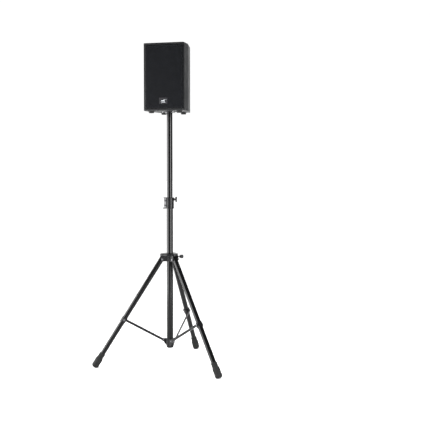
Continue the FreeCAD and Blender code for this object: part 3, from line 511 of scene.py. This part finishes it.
def sheet_border(half_u, z_low, z_high, columns, rows):
    """Blank margins of the flat sheet, with its cut edges closed."""
    shape = bmesh.new()
    inner = columns * HOLE_PITCH / 2
    z_first = (z_low + z_high - rows * ROW_PITCH) / 2
    z_last = z_first + rows * ROW_PITCH
    step = HOLE_PITCH / 2
    inside = [-inner + step * i for i in range(2 * columns + 1)]
    across = [-half_u] + inside + [half_u]
    upright = [z_low] + [z_first + ROW_PITCH * i for i in range(rows + 1)] + [z_high]

    def patch(x0, x1, z0, z1):
        for y, order in ((0.0, 1), (SHEET_T, -1)):
            corners = [(x0, z0), (x1, z0), (x1, z1), (x0, z1)][::order]
            shape.faces.new([shape.verts.new((x, y, z)) for x, z in corners])

    def cut_edge(start, stop):
        (x0, z0), (x1, z1) = start, stop
        ends = [(x0, 0.0, z0), (x0, SHEET_T, z0), (x1, SHEET_T, z1), (x1, 0.0, z1)]
        shape.faces.new([shape.verts.new(p) for p in ends])

    for x0, x1 in zip(across, across[1:]):
        patch(x0, x1, z_low, z_first)
        patch(x0, x1, z_last, z_high)
        cut_edge((x0, z_low), (x1, z_low))
        cut_edge((x1, z_high), (x0, z_high))
    for z0, z1 in zip(upright, upright[1:]):
        if z_first - 1e-9 < z0 and z1 < z_last + 1e-9:
            patch(-half_u, -inner, z0, z1)
            patch(inner, half_u, z0, z1)
        cut_edge((-half_u, z1), (-half_u, z0))
        cut_edge((half_u, z0), (half_u, z1))
    return mesh_from(shape, "sheet_border"), z_first


def perforated_recipe():
    """Punched sheet: cells in staggered rows, joined to the border, then bent back at both sides."""
    r = Recipe("perforated_sheet", Cell="object", Blank="object", Columns=int, Rows=int, Pitch=float,
               Row=float, First=float, Flat=float, Bend=float, Front=float)
    pitch, row = r.value(r.input("Pitch")), r.value(r.input("Row"))
    columns, rows = r.value(r.input("Columns")), r.value(r.input("Rows"))
    first = r.value(r.input("First"))

    def grid_of(count):
        """Points in columns and rows, numbered up each column, with their row and column."""
        points = r.add("GeometryNodeMeshLine", {"Count": count * rows, "Offset": (0, 0, 0)}, mode="OFFSET")
        number = r.value(r.add("GeometryNodeInputIndex").outputs[0])
        column = (number / rows).step("FLOOR")
        return points.outputs["Mesh"], column, number - column * rows

    def placed(points, x, row_number):
        z = first + (row_number + 0.5) * row
        place = r.add("ShaderNodeCombineXYZ", {"X": x, "Z": z})
        return r.add("GeometryNodeSetPosition",
                     {"Geometry": points, "Position": place.outputs[0]}).outputs[0]

    def stamped(points, sample, choose):
        info = r.add("GeometryNodeObjectInfo", {"Object": r.input(sample)})
        return r.add("GeometryNodeInstanceOnPoints",
                     {"Points": points, "Instance": info.outputs["Geometry"], "Selection": choose}).outputs[0]

    points, column, number = grid_of(columns)
    odd = number.step("MODULO", 2.0)
    x = (column + 0.5 + odd * 0.5 - columns * 0.5) * pitch
    keep = (column + odd).step("LESS_THAN", columns - 0.5)
    cells = stamped(placed(points, x, number), "Cell", keep)

    points, side, number = grid_of(r.value(r.add("FunctionNodeInputInt", integer=2).outputs[0]))
    odd = number.step("MODULO", 2.0)
    x = (side * 2.0 - 1.0) * (columns * 0.5 - 0.25) * pitch
    blanks = stamped(placed(points, x, number), "Blank", odd.step("GREATER_THAN", 0.5))

    joined = r.add("GeometryNodeJoinGeometry")
    for source in (r.input("Geometry"), cells, blanks):
        r.tree.links.new(source, joined.inputs["Geometry"])
    real = r.add("GeometryNodeRealizeInstances", {"Geometry": joined.outputs[0]})
    welded = r.add("GeometryNodeMergeByDistance", {"Geometry": real.outputs[0], "Distance": 0.00003})

    place = r.add("GeometryNodeInputPosition")
    parts = r.add("ShaderNodeSeparateXYZ", {"Vector": place.outputs[0]})
    u, depth = r.value(parts.outputs["X"]), r.value(parts.outputs["Y"])
    flat, bend = r.value(r.input("Flat")), r.value(r.input("Bend"))
    quarter = bend * (math.pi / 2)
    reach = u.step("ABSOLUTE")
    past = (reach - flat).step("MAXIMUM", 0.0)
    arc = past.step("MINIMUM", quarter)
    angle = arc / bend
    tail = past - arc
    inner = bend - depth
    x = (reach.step("MINIMUM", flat) + inner * angle.step("SINE")) * u.step("SIGN")
    y = r.value(r.input("Front")) + bend - inner * angle.step("COSINE") + tail
    bent = r.add("ShaderNodeCombineXYZ", {"X": x, "Y": y, "Z": parts.outputs["Z"]})
    formed = r.add("GeometryNodeSetPosition", {"Geometry": welded.outputs[0], "Position": bent.outputs[0]})
    r.end(formed.outputs[0])
    return r


def make_grille():
    """The perforated front, bent from one sheet, with plain margins at the top and bottom."""
    low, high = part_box("grille")
    low, high = Vector(low), Vector(high)
    half_w = (high.x - low.x) / 2
    flat = half_w - BEND_R
    half_u = flat + BEND_R * math.pi / 2 + (high.y - low.y - BEND_R)
    edge = 2.0 * MM
    columns = int((2 * half_u - edge) / HOLE_PITCH)
    rows = 2 * int((high.z - low.z - 2 * edge) / ROW_PITCH / 2)
    border, first = sheet_border(half_u, low.z, high.z, columns, rows)
    cell = hidden_sample("cell", punched_cell())
    blank = hidden_sample("blank", plain_cell(HOLE_PITCH / 2, ROW_PITCH))
    piece = perforated_recipe().made(
        "perforated_grille", border, GRILLE, Cell=cell, Blank=blank, Columns=columns, Rows=rows,
        Pitch=HOLE_PITCH, Row=ROW_PITCH, First=first, Flat=flat, Bend=BEND_R, Front=low.y)
    drop(cell)
    drop(blank)
    piece.data.transform(Matrix.Translation((POLE.x, 0, 0)))
    smooth(piece, 40.0)
    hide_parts("grille")
    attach(piece, "cabinet")


# ---------------------------------------------------------------- turned and repeated details

LEG_HEADINGS = {"rear": 85.6, "left": 205.6, "right": 325.6}
LEG_PIVOT = (51.0 * MM, 0.0, 655.0 * MM)
LEG_SPREAD = 32.5


def turned_mesh(name, profile, sides, flutes=0, flute_depth=0.0, fluted=()):
    """Closed solid of revolution about Z from (radius, height) points that start and end on the axis."""
    shape = bmesh.new()
    rings = []
    for number, (radius, height) in enumerate(profile):
        if radius < 1e-7:
            rings.append([shape.verts.new((0, 0, height))])
            continue
        ring = []
        for i in range(sides):
            a = 2 * math.pi * i / sides
            r = radius
            if number in fluted:
                r -= flute_depth * max(0.0, math.cos(flutes * a)) ** 2
            ring.append(shape.verts.new((r * math.cos(a), r * math.sin(a), height)))
        rings.append(ring)
    for low, high in zip(rings, rings[1:]):
        for i in range(sides):
            j = (i + 1) % sides
            corners = [low[i % len(low)], low[j % len(low)], high[j % len(high)], high[i % len(high)]]
            unique = list(dict.fromkeys(corners))
            if len(unique) > 2:
                shape.faces.new(unique)
    bmesh.ops.recalc_face_normals(shape, faces=shape.faces)
    return mesh_from(shape, name)


def rounded(middle_r, middle_z, radius, start, stop, steps):
    """Points of an arc in the profile plane, by angle in degrees from the outward direction."""
    points = []
    for i in range(steps + 1):
        a = math.radians(start + (stop - start) * i / steps)
        points.append((middle_r + radius * math.cos(a), middle_z + radius * math.sin(a)))
    return points


def rings_recipe():
    """A base piece with a ring repeated down its axis at an even pitch."""
    r = Recipe("rings_along_axis", Ring="object", Count=int, Start=float, Pitch=float)
    drop_by = r.add("ShaderNodeCombineXYZ", {"Z": r.value(r.input("Pitch"))})
    begin = r.add("ShaderNodeCombineXYZ", {"Z": r.value(r.input("Start"))})
    line = r.add("GeometryNodeMeshLine", {"Count": r.input("Count"), "Offset": drop_by.outputs[0],
                                          "Start Location": begin.outputs[0]}, mode="OFFSET")
    ring = r.add("GeometryNodeObjectInfo", {"Object": r.input("Ring")})
    rings = r.add("GeometryNodeInstanceOnPoints",
                  {"Points": line.outputs["Mesh"], "Instance": ring.outputs["Geometry"]})
    joined = r.add("GeometryNodeJoinGeometry")
    for source in (r.input("Geometry"), rings.outputs[0]):
        r.tree.links.new(source, joined.inputs["Geometry"])
    r.end(joined.outputs[0])
    return r


def ring_mesh(radius, thick, sides, around=8):
    """Round-section ring about Z."""
    shape = bmesh.new()
    loops = []
    for i in range(sides):
        a = 2 * math.pi * i / sides
        loop = []
        for j in range(around):
            b = 2 * math.pi * j / around
            r = radius + thick * math.cos(b)
            loop.append(shape.verts.new((r * math.cos(a), r * math.sin(a), thick * math.sin(b))))
        loops.append(loop)
    for i in range(sides):
        here, there = loops[i], loops[(i + 1) % sides]
        for j in range(around):
            k = (j + 1) % around
            shape.faces.new((here[j], there[j], there[k], here[k]))
    bmesh.ops.recalc_face_normals(shape, faces=shape.faces)
    return mesh_from(shape, "ring")


RINGS = rings_recipe()

TUBE_END = -752.3 * MM         # heights along the leg, below its top pivot
SLEEVE_TOP = -676.0 * MM
SLEEVE_FOOT = -700.0 * MM
BULB_FOOT = -735.0 * MM
FOOT_END = -773.0 * MM
FOOT_BORE_R = 15.55 * MM
SLEEVE_R = 18.0 * MM
BULB_R = 22.0 * MM
END_ROUND = 15.0 * MM
LIP = 0.8 * MM
RIB_R = 17.9 * MM
RIB_T = 0.8 * MM
RIB_TOP = -681.0 * MM
RIB_PITCH = -3.4 * MM
RIB_COUNT = 6


def make_feet():
    """Ribbed rubber foot on each leg: sleeve, step, bulb, and a flat where it stands on the floor."""
    profile = [(0, TUBE_END), (FOOT_BORE_R, TUBE_END), (FOOT_BORE_R, SLEEVE_TOP), (SLEEVE_R - LIP, SLEEVE_TOP)]
    profile += rounded(SLEEVE_R - LIP, SLEEVE_TOP - LIP, LIP, 90, 0, 3)
    profile += [(SLEEVE_R, SLEEVE_FOOT), (18.4 * MM, -703.0 * MM), (20.6 * MM, -709.0 * MM)]
    profile += rounded(19.0 * MM, -714.0 * MM, 3.0 * MM, 50, 0, 4)
    profile += [(BULB_R, BULB_FOOT)]
    profile += rounded(BULB_R - END_ROUND, FOOT_END + END_ROUND, END_ROUND, 0, -90, 9)
    profile += [(0, FOOT_END)]
    for name, heading in LEG_HEADINGS.items():
        sample = hidden_sample("rib", ring_mesh(RIB_R, RIB_T, 48))
        piece = RINGS.made("ribbed_foot_" + name, turned_mesh("foot", profile, 56), FOOT_RUBBER,
                           Ring=sample, Count=RIB_COUNT, Start=RIB_TOP, Pitch=RIB_PITCH)
        drop(sample)
        place = (Matrix.Translation(POLE) @ Matrix.Rotation(math.radians(heading), 4, "Z")
                 @ Matrix.Translation(LEG_PIVOT) @ Matrix.Rotation(math.radians(-LEG_SPREAD), 4, "Y"))
        piece.data.transform(place)
        for vertex in piece.data.vertices:
            vertex.co.z = max(vertex.co.z, 0.0)
        smooth(piece)
        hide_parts("leg_foot_" + name)
        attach(piece, "leg_" + name)


def out_from_pole(heading, height):
    """Placement whose Z axis points away from the pole at a heading and a height."""
    return (Matrix.Translation(POLE + Vector((0, 0, height))) @ Matrix.Rotation(math.radians(heading), 4, "Z")
            @ Matrix.Rotation(math.radians(90.0), 4, "Y"))


HUB_KNOB_HEADING = 25.6
HUB_KNOB_Z = 668.0 * MM
COLLAR_KNOB_HEADING = 18.0
COLLAR_KNOB_Z = 1022.0 * MM


def make_hub_knob():
    """Fluted ball knob with a turned neck."""
    neck, belly, end, r = 58.0 * MM, 64.0 * MM, 84.0 * MM, 11.5 * MM
    profile = [(0, neck), (6.2 * MM, neck)] + rounded(6.2 * MM, neck + 0.8 * MM, 0.8 * MM, -90, 0, 3)
    profile += [(7.0 * MM, belly - 1.2 * MM), (7.8 * MM, belly)]
    start = len(profile)
    profile += rounded(r - 4.2 * MM, belly + 4.2 * MM, 4.2 * MM, -80, 0, 6)
    profile += [(r, (belly + end) / 2)]
    profile += rounded(r - 5.0 * MM, end - 5.0 * MM, 5.0 * MM, 0, 80, 6)
    stop = len(profile)
    profile += [(4.5 * MM, end), (4.0 * MM, end - 0.5 * MM), (0, end - 0.5 * MM)]
    mesh = turned_mesh("hub_knob", profile, 96, flutes=8, flute_depth=1.3 * MM, fluted=range(start + 2, stop - 2))
    piece = new_object("fluted_hub_knob", mesh)
    mesh.materials.append(KNOB)
    mesh.transform(out_from_pole(HUB_KNOB_HEADING, HUB_KNOB_Z))
    smooth(piece, 40.0)
    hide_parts("hub_knob")
    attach(piece, "hub_handle")


def make_thread(name, node, body, radius, start, end, pitch, heading, height):
    """Clamp screw with its thread, plain at the tip."""
    core = radius - 0.35 * pitch
    profile = [(0, start), (core - 0.6 * MM, start), (core, start + 0.6 * MM), (core, end), (0, end)]
    sample = hidden_sample("crest", ring_mesh(core, 0.35 * pitch, 32, around=4))
    count = int((end - start - 2 * MM) / pitch)
    piece = RINGS.made(name, turned_mesh(name, profile, 32), ZINC, Ring=sample, Count=count,
                       Start=start + 1.5 * MM, Pitch=pitch)
    drop(sample)
    piece.data.transform(out_from_pole(heading, height))
    smooth(piece, 50.0)
    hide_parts(node)
    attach(piece, body)


# ---------------------------------------------------------------- screws

def recessed_screw():
    """Pan-head screw of unit head radius with a cross recess, its head above Z = 0."""
    head = [(0, -2.2), (0.4, -2.2), (0.4, 0), (0.97, 0), (1.0, 0.06)]
    head += rounded(0.55, 0.1, 0.45, 0, 90, 6) + [(0, 0.58)]
    body = new_object("screw_body", turned_mesh("screw_body", head, 32))
    cutter = bmesh.new()
    for turn in (0, 90):
        made = bmesh.ops.create_cube(cutter, size=1.0)["verts"]
        for v in made:
            narrow = 0.7 if v.co.z < 0 else 1.0
            v.co = Vector((v.co.x * 1.05 * narrow, v.co.y * 0.2 * narrow, v.co.z * 0.5 + 0.42))
        bmesh.ops.rotate(cutter, verts=made, cent=(0, 0, 0), matrix=Matrix.Rotation(math.radians(turn), 3, "Z"))
    cross = new_object("screw_cross", mesh_from(cutter, "screw_cross"))
    cut = body.modifiers.new("recess", "BOOLEAN")
    cut.operation = "DIFFERENCE"
    cut.solver = "EXACT"
    cut.use_self = True
    cut.object = cross
    bpy.context.view_layer.update()
    graph = bpy.context.evaluated_depsgraph_get()
    mesh = bpy.data.meshes.new_from_object(body.evaluated_get(graph))
    bpy.data.objects.remove(body)
    bpy.data.objects.remove(cross)
    return mesh


def screws_recipe():
    """A screw on every point, facing the point's way, sized by it and turned at random."""
    r = Recipe("screws_on_points", Screw="object", Seed=int)
    screw = r.add("GeometryNodeObjectInfo", {"Object": r.input("Screw")})
    facing = r.add("GeometryNodeInputNamedAttribute", {"Name": "facing"}, data_type="FLOAT_VECTOR")
    size = r.add("GeometryNodeInputNamedAttribute", {"Name": "size"}, data_type="FLOAT")
    spin = r.add("FunctionNodeRandomValue", {"Seed": r.input("Seed")}, data_type="FLOAT")
    angle = r.value(spin.outputs["Value"] if spin.outputs["Value"].enabled else spin.outputs[1]) * math.pi
    upright = r.add("FunctionNodeAlignRotationToVector", {"Vector": facing.outputs["Attribute"]}, axis="Z")
    about = r.add("FunctionNodeAxisAngleToRotation", {"Angle": angle})
    turned = r.add("FunctionNodeRotateRotation",
                   {"Rotation": upright.outputs[0], "Rotate By": about.outputs[0]}, rotation_space="LOCAL")
    placed = r.add("GeometryNodeInstanceOnPoints",
                   {"Points": r.input("Geometry"), "Instance": screw.outputs["Geometry"],
                    "Rotation": turned.outputs[0], "Scale": size.outputs["Attribute"]})
    r.end(placed.outputs[0])
    return r


def points_mesh(name, places):
    """Bare points with a facing direction and a size, from (place, facing, size)."""
    mesh = bpy.data.meshes.new(name)
    mesh.from_pydata([place for place, facing, size in places], [], [])
    mesh.attributes.new("facing", "FLOAT_VECTOR", "POINT")
    mesh.attributes.new("size", "FLOAT", "POINT")
    for i, (_, way, large) in enumerate(places):
        mesh.attributes["facing"].data[i].vector = way
        mesh.attributes["size"].data[i].value = large
    return mesh


CAB_BOTTOM = 1559.0 * MM
CAB_BACK = 120.5 * MM
CAB_FOOT_R = 17.5 * MM
CAB_FOOT_Y = 84.0 * MM
REAR_FOOT_X = 63.45 * MM       # closer in than the front feet, as the cabinet tapers
CAB_FOOT_SEAT = 7.0 * MM       # depth of a seat below the cabinet
FLANGE_T = 2.5 * MM
FLANGE_SCREWS_R = 44.0 * MM
CONNECTOR_Z = 1680.0 * MM
PLATE_T = 2.0 * MM
PLATE_SCREW_X = 50.0 * MM
PLATE_SCREW_Z = 35.0 * MM
CAB_FOOT_HEAD, FLANGE_HEAD, PLATE_HEAD = 5.0 * MM, 3.8 * MM, 3.5 * MM     # radii of the screw heads


def shell_screw_points():
    """Seats of the screws in the four feet, the pole socket's flange and the connector plate."""
    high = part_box("cabinet_feet")[1]
    front_foot_x = high[0] - POLE.x - CAB_FOOT_R
    down, back = (0, 0, -1), (0, 1, 0)
    places = []
    for side in (-1, 1):
        for y, out in ((-CAB_FOOT_Y, front_foot_x), (CAB_FOOT_Y, REAR_FOOT_X)):
            spot = (POLE.x + side * out, POLE.y + y, CAB_BOTTOM - CAB_FOOT_SEAT)
            places.append((spot, down, CAB_FOOT_HEAD))
    for i in range(4):
        a = math.radians(45 + 90 * i)
        spot = (POLE.x + FLANGE_SCREWS_R * math.cos(a), POLE.y + FLANGE_SCREWS_R * math.sin(a),
                CAB_BOTTOM - FLANGE_T)
        places.append((spot, down, FLANGE_HEAD))
    for x in (-PLATE_SCREW_X, PLATE_SCREW_X):
        for z in (-PLATE_SCREW_Z, PLATE_SCREW_Z):
            spot = (POLE.x + x, POLE.y + CAB_BACK + PLATE_T, CONNECTOR_Z + z)
            places.append((spot, back, PLATE_HEAD))
    return places


def make_shell_screws():
    sample = hidden_sample("screw", recessed_screw())
    piece = screws_recipe().made("shell_screws_recessed", points_mesh("screw_points", shell_screw_points()), ZINC,
                                 Screw=sample, Seed=7)
    drop(sample)
    smooth(piece, 30.0)
    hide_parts("shell_screws")
    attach(piece, "cabinet")


# ---------------------------------------------------------------- badge

def strip(shape, points, width, front, back):
    """Raised ribbon along points in the XZ plane, with closed sides."""
    left, right = [], []
    for i, (x, z) in enumerate(points):
        x0, z0 = points[max(i - 1, 0)]
        x1, z1 = points[min(i + 1, len(points) - 1)]
        way = Vector((x1 - x0, z1 - z0)).normalized()
        half = width[i] / 2
        left.append((x - way.y * half, z + way.x * half))
        right.append((x + way.y * half, z - way.x * half))
    outline = left + right[::-1]
    near = [shape.verts.new((x, front, z)) for x, z in outline]
    far = [shape.verts.new((x, back, z)) for x, z in outline]
    count = len(outline)
    for i in range(count):
        j = (i + 1) % count
        shape.faces.new((near[i], near[j], far[j], far[i]))
    half = len(points)
    for i in range(half - 1):
        a, b, c, d = i, i + 1, count - 2 - i, count - 1 - i
        shape.faces.new((near[a], near[b], near[c], near[d]))
        shape.faces.new((far[d], far[c], far[b], far[a]))


MARK_BACK = 0.2 * MM           # the mark sinks this far into the badge and stands out by MARK_OUT
MARK_OUT = 0.12 * MM
CURVE_STEPS = 18
BAR_W = 1.9 * MM
BAR_PITCH = 3.3
BAR_HEIGHTS = (2.2, 3.6, 5.0, 3.0, 4.4, 5.8, 3.4, 2.4)


def make_badge_mark():
    """Plain mark on the badge: a rising curve over a row of level bars."""
    low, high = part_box("badge")
    front = low[1]
    mid_z = (low[2] + high[2]) / 2
    shape = bmesh.new()
    curve, width = [], []
    for i in range(CURVE_STEPS + 1):
        t = i / CURVE_STEPS
        curve.append(((-15.0 + 31.0 * t) * MM, mid_z + (-1.0 + 9.0 * t ** 1.8) * MM))
        width.append((0.5 + 3.2 * math.sin(math.pi * min(1.0, t * 1.05)) ** 0.8) * MM)
    strip(shape, curve, width, front - MARK_OUT, front + MARK_BACK)
    base = mid_z - 10.5 * MM
    for i, tall in enumerate(BAR_HEIGHTS):
        x = (-11.5 + BAR_PITCH * i) * MM
        strip(shape, [(x, base), (x, base + tall * MM)], [BAR_W] * 2, front - MARK_OUT, front + MARK_BACK)
    bmesh.ops.recalc_face_normals(shape, faces=shape.faces)
    piece = new_object("badge_mark", mesh_from(shape, "badge_mark"))
    piece.data.materials.append(PRINT)
    piece.data.transform(Matrix.Translation((POLE.x, 0, 0)))
    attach(piece, "cabinet")


# ---------------------------------------------------------------- camera, floor, light

CAMERA_FROM_POLE = Vector((1.552, -4.790, 1.228))
CAMERA_YAW = 3.1686       # degrees to the right of the pole
CAMERA_PITCH = 2.2384     # degrees down
CAMERA_LENS = 68.476
CAMERA_SHIFT_Y = -0.04

BRIGHT_SIDE = -65.0       # heading of the white side's middle: degrees from +Y towards +X
WHITE_TO = 67.0           # degrees each way that stay white, and where it has gone dark
DARK_FROM = 92.0
WHITE_LEVEL = 1.03
DARK_LEVEL = 0.28
SUN_POWER = 2.2
FLOOR_REACH = 60.0
# heading towards the studio's dark side, along which the floor gets its painted shade
FLOOR_SHADE_HEADING = 150.0
FLOOR_SHADE_SPAN = (1.6, 8.0)   # metres towards the dark side over which the floor's colour goes a little darker: painted shade
FLOOR_PALE = (0.95, 0.95, 0.95)
FLOOR_SHADED_GREY = (0.75, 0.75, 0.75)
SUN_SPREAD = 80.0
SUN_TILT = -18.0

# name, place and aim from the pole's foot, width and height, power in watts
SOFTBOXES = (
    ("left_softbox", (-2.6, 0.0, 0.7), (0, 0, 0.7), (2.6, 2.0), 150.0),
    ("right_softbox", (2.4, -1.5, 0.7), (0, 0, 0.7), (1.1, 2.0), 150.0),
    ("front_left_softbox", (-1.98, -1.98, 0.7), (0, 0, 0.7), (1.6, 2.0), 120.0),
    ("front_fill", (-1.6, -4.4, 2.4), (0, 0, 1.7), (1.2, 1.2), 6.0),
)


def set_camera():
    data = bpy.data.cameras.new("camera")
    data.lens = CAMERA_LENS
    data.sensor_width = 36.0
    data.shift_y = CAMERA_SHIFT_Y
    camera = bpy.data.objects.new("camera", data)
    bpy.context.scene.collection.objects.link(camera)
    camera.location = POLE + CAMERA_FROM_POLE
    heading = math.atan2(-CAMERA_FROM_POLE.x, -CAMERA_FROM_POLE.y) + math.radians(CAMERA_YAW)
    pitch = math.radians(CAMERA_PITCH)
    ahead = Vector((math.sin(heading) * math.cos(pitch), math.cos(heading) * math.cos(pitch), -math.sin(pitch)))
    camera.rotation_mode = "QUATERNION"
    camera.rotation_quaternion = ahead.to_track_quat("-Z", "Y")
    bpy.context.scene.camera = camera


def softbox(name, place, aim, size, power):
    """Rectangular studio light turned towards a point."""
    data = bpy.data.lights.new(name, "AREA")
    data.shape = "RECTANGLE"
    data.size, data.size_y = size
    data.energy = power
    light = bpy.data.objects.new(name, data)
    bpy.context.scene.collection.objects.link(light)
    light.location = POLE + Vector(place)
    light.rotation_mode = "QUATERNION"
    light.rotation_quaternion = (POLE + Vector(aim) - light.location).to_track_quat("-Z", "Y")
    light.visible_camera = False


def studio_world():
    """White to the left and behind, and darker to the right and in front, as in a tent with one dark side."""
    world = bpy.data.worlds.new("studio")
    world.use_nodes = True
    bpy.context.scene.world = world
    nodes, links = world.node_tree.nodes, world.node_tree.links
    place = nodes.new("ShaderNodeTexCoord")
    along = nodes.new("ShaderNodeVectorMath")
    along.operation = "DOT_PRODUCT"
    links.new(place.outputs["Generated"], along.inputs[0])
    heading = math.radians(BRIGHT_SIDE)
    along.inputs[1].default_value = (math.sin(heading), math.cos(heading), 0.0)
    ramp = nodes.new("ShaderNodeMapRange")
    ramp.interpolation_type = "SMOOTHSTEP"
    links.new(along.outputs["Value"], ramp.inputs["Value"])
    ramp.inputs["From Min"].default_value = math.cos(math.radians(DARK_FROM))
    ramp.inputs["From Max"].default_value = math.cos(math.radians(WHITE_TO))
    ramp.inputs["To Min"].default_value = DARK_LEVEL
    ramp.inputs["To Max"].default_value = WHITE_LEVEL
    background = nodes["Background"]
    background.inputs["Color"].default_value = (1.0, 1.0, 1.0, 1.0)
    links.new(ramp.outputs["Result"], background.inputs["Strength"])


def overhead_sun(power):
    """Broad, even light from above, which keeps the floor white to the horizon."""
    data = bpy.data.lights.new("overhead", "SUN")
    data.energy = power
    data.angle = math.radians(SUN_SPREAD)
    light = bpy.data.objects.new("overhead", data)
    bpy.context.scene.collection.objects.link(light)
    light.rotation_euler = (math.radians(SUN_TILT), 0.0, 0.0)


def set_studio():
    bpy.context.scene.view_settings.view_transform = "Standard"
    studio_world()
    floor = Finish("pale_floor", (0.92, 0.92, 0.92), 0.9, ior=1.1)
    # painted shade: the floor's colour goes from pale to grey towards the studio's dark side
    away = floor.add("ShaderNodeVectorMath", operation="DOT_PRODUCT")
    floor.links.new(floor.place, away.inputs[0])
    heading = math.radians(FLOOR_SHADE_HEADING)
    away.inputs[1].default_value = (math.sin(heading), math.cos(heading), 0.0)
    floor.shade(floor.between(away.outputs["Value"], *FLOOR_SHADE_SPAN), FLOOR_PALE, FLOOR_SHADED_GREY)
    floor.relief(floor.noise(300.0, detail=2.0), 0.00005)
    plane = bmesh.new()
    bmesh.ops.create_grid(plane, x_segments=4, y_segments=4, size=FLOOR_REACH)
    ground = new_object("floor", mesh_from(plane, "floor"))
    ground.data.materials.append(floor.material)
    overhead_sun(SUN_POWER)
    for row in SOFTBOXES:
        softbox(*row)


finish_cad_nodes()
make_grille()
make_badge_mark()
make_shell_screws()
make_feet()
make_hub_knob()
make_thread("hub_screw_threaded", "hub_screw", "hub_handle", radius=4.0 * MM, start=20.3 * MM, end=74.0 * MM,
            pitch=1.25 * MM, heading=HUB_KNOB_HEADING, height=HUB_KNOB_Z)
make_thread("collar_screw_threaded", "collar_screw", "collar_handle", radius=3.0 * MM, start=17.8 * MM,
            end=40.0 * MM, pitch=1.0 * MM, heading=COLLAR_KNOB_HEADING, height=COLLAR_KNOB_Z)
set_camera()
set_studio()
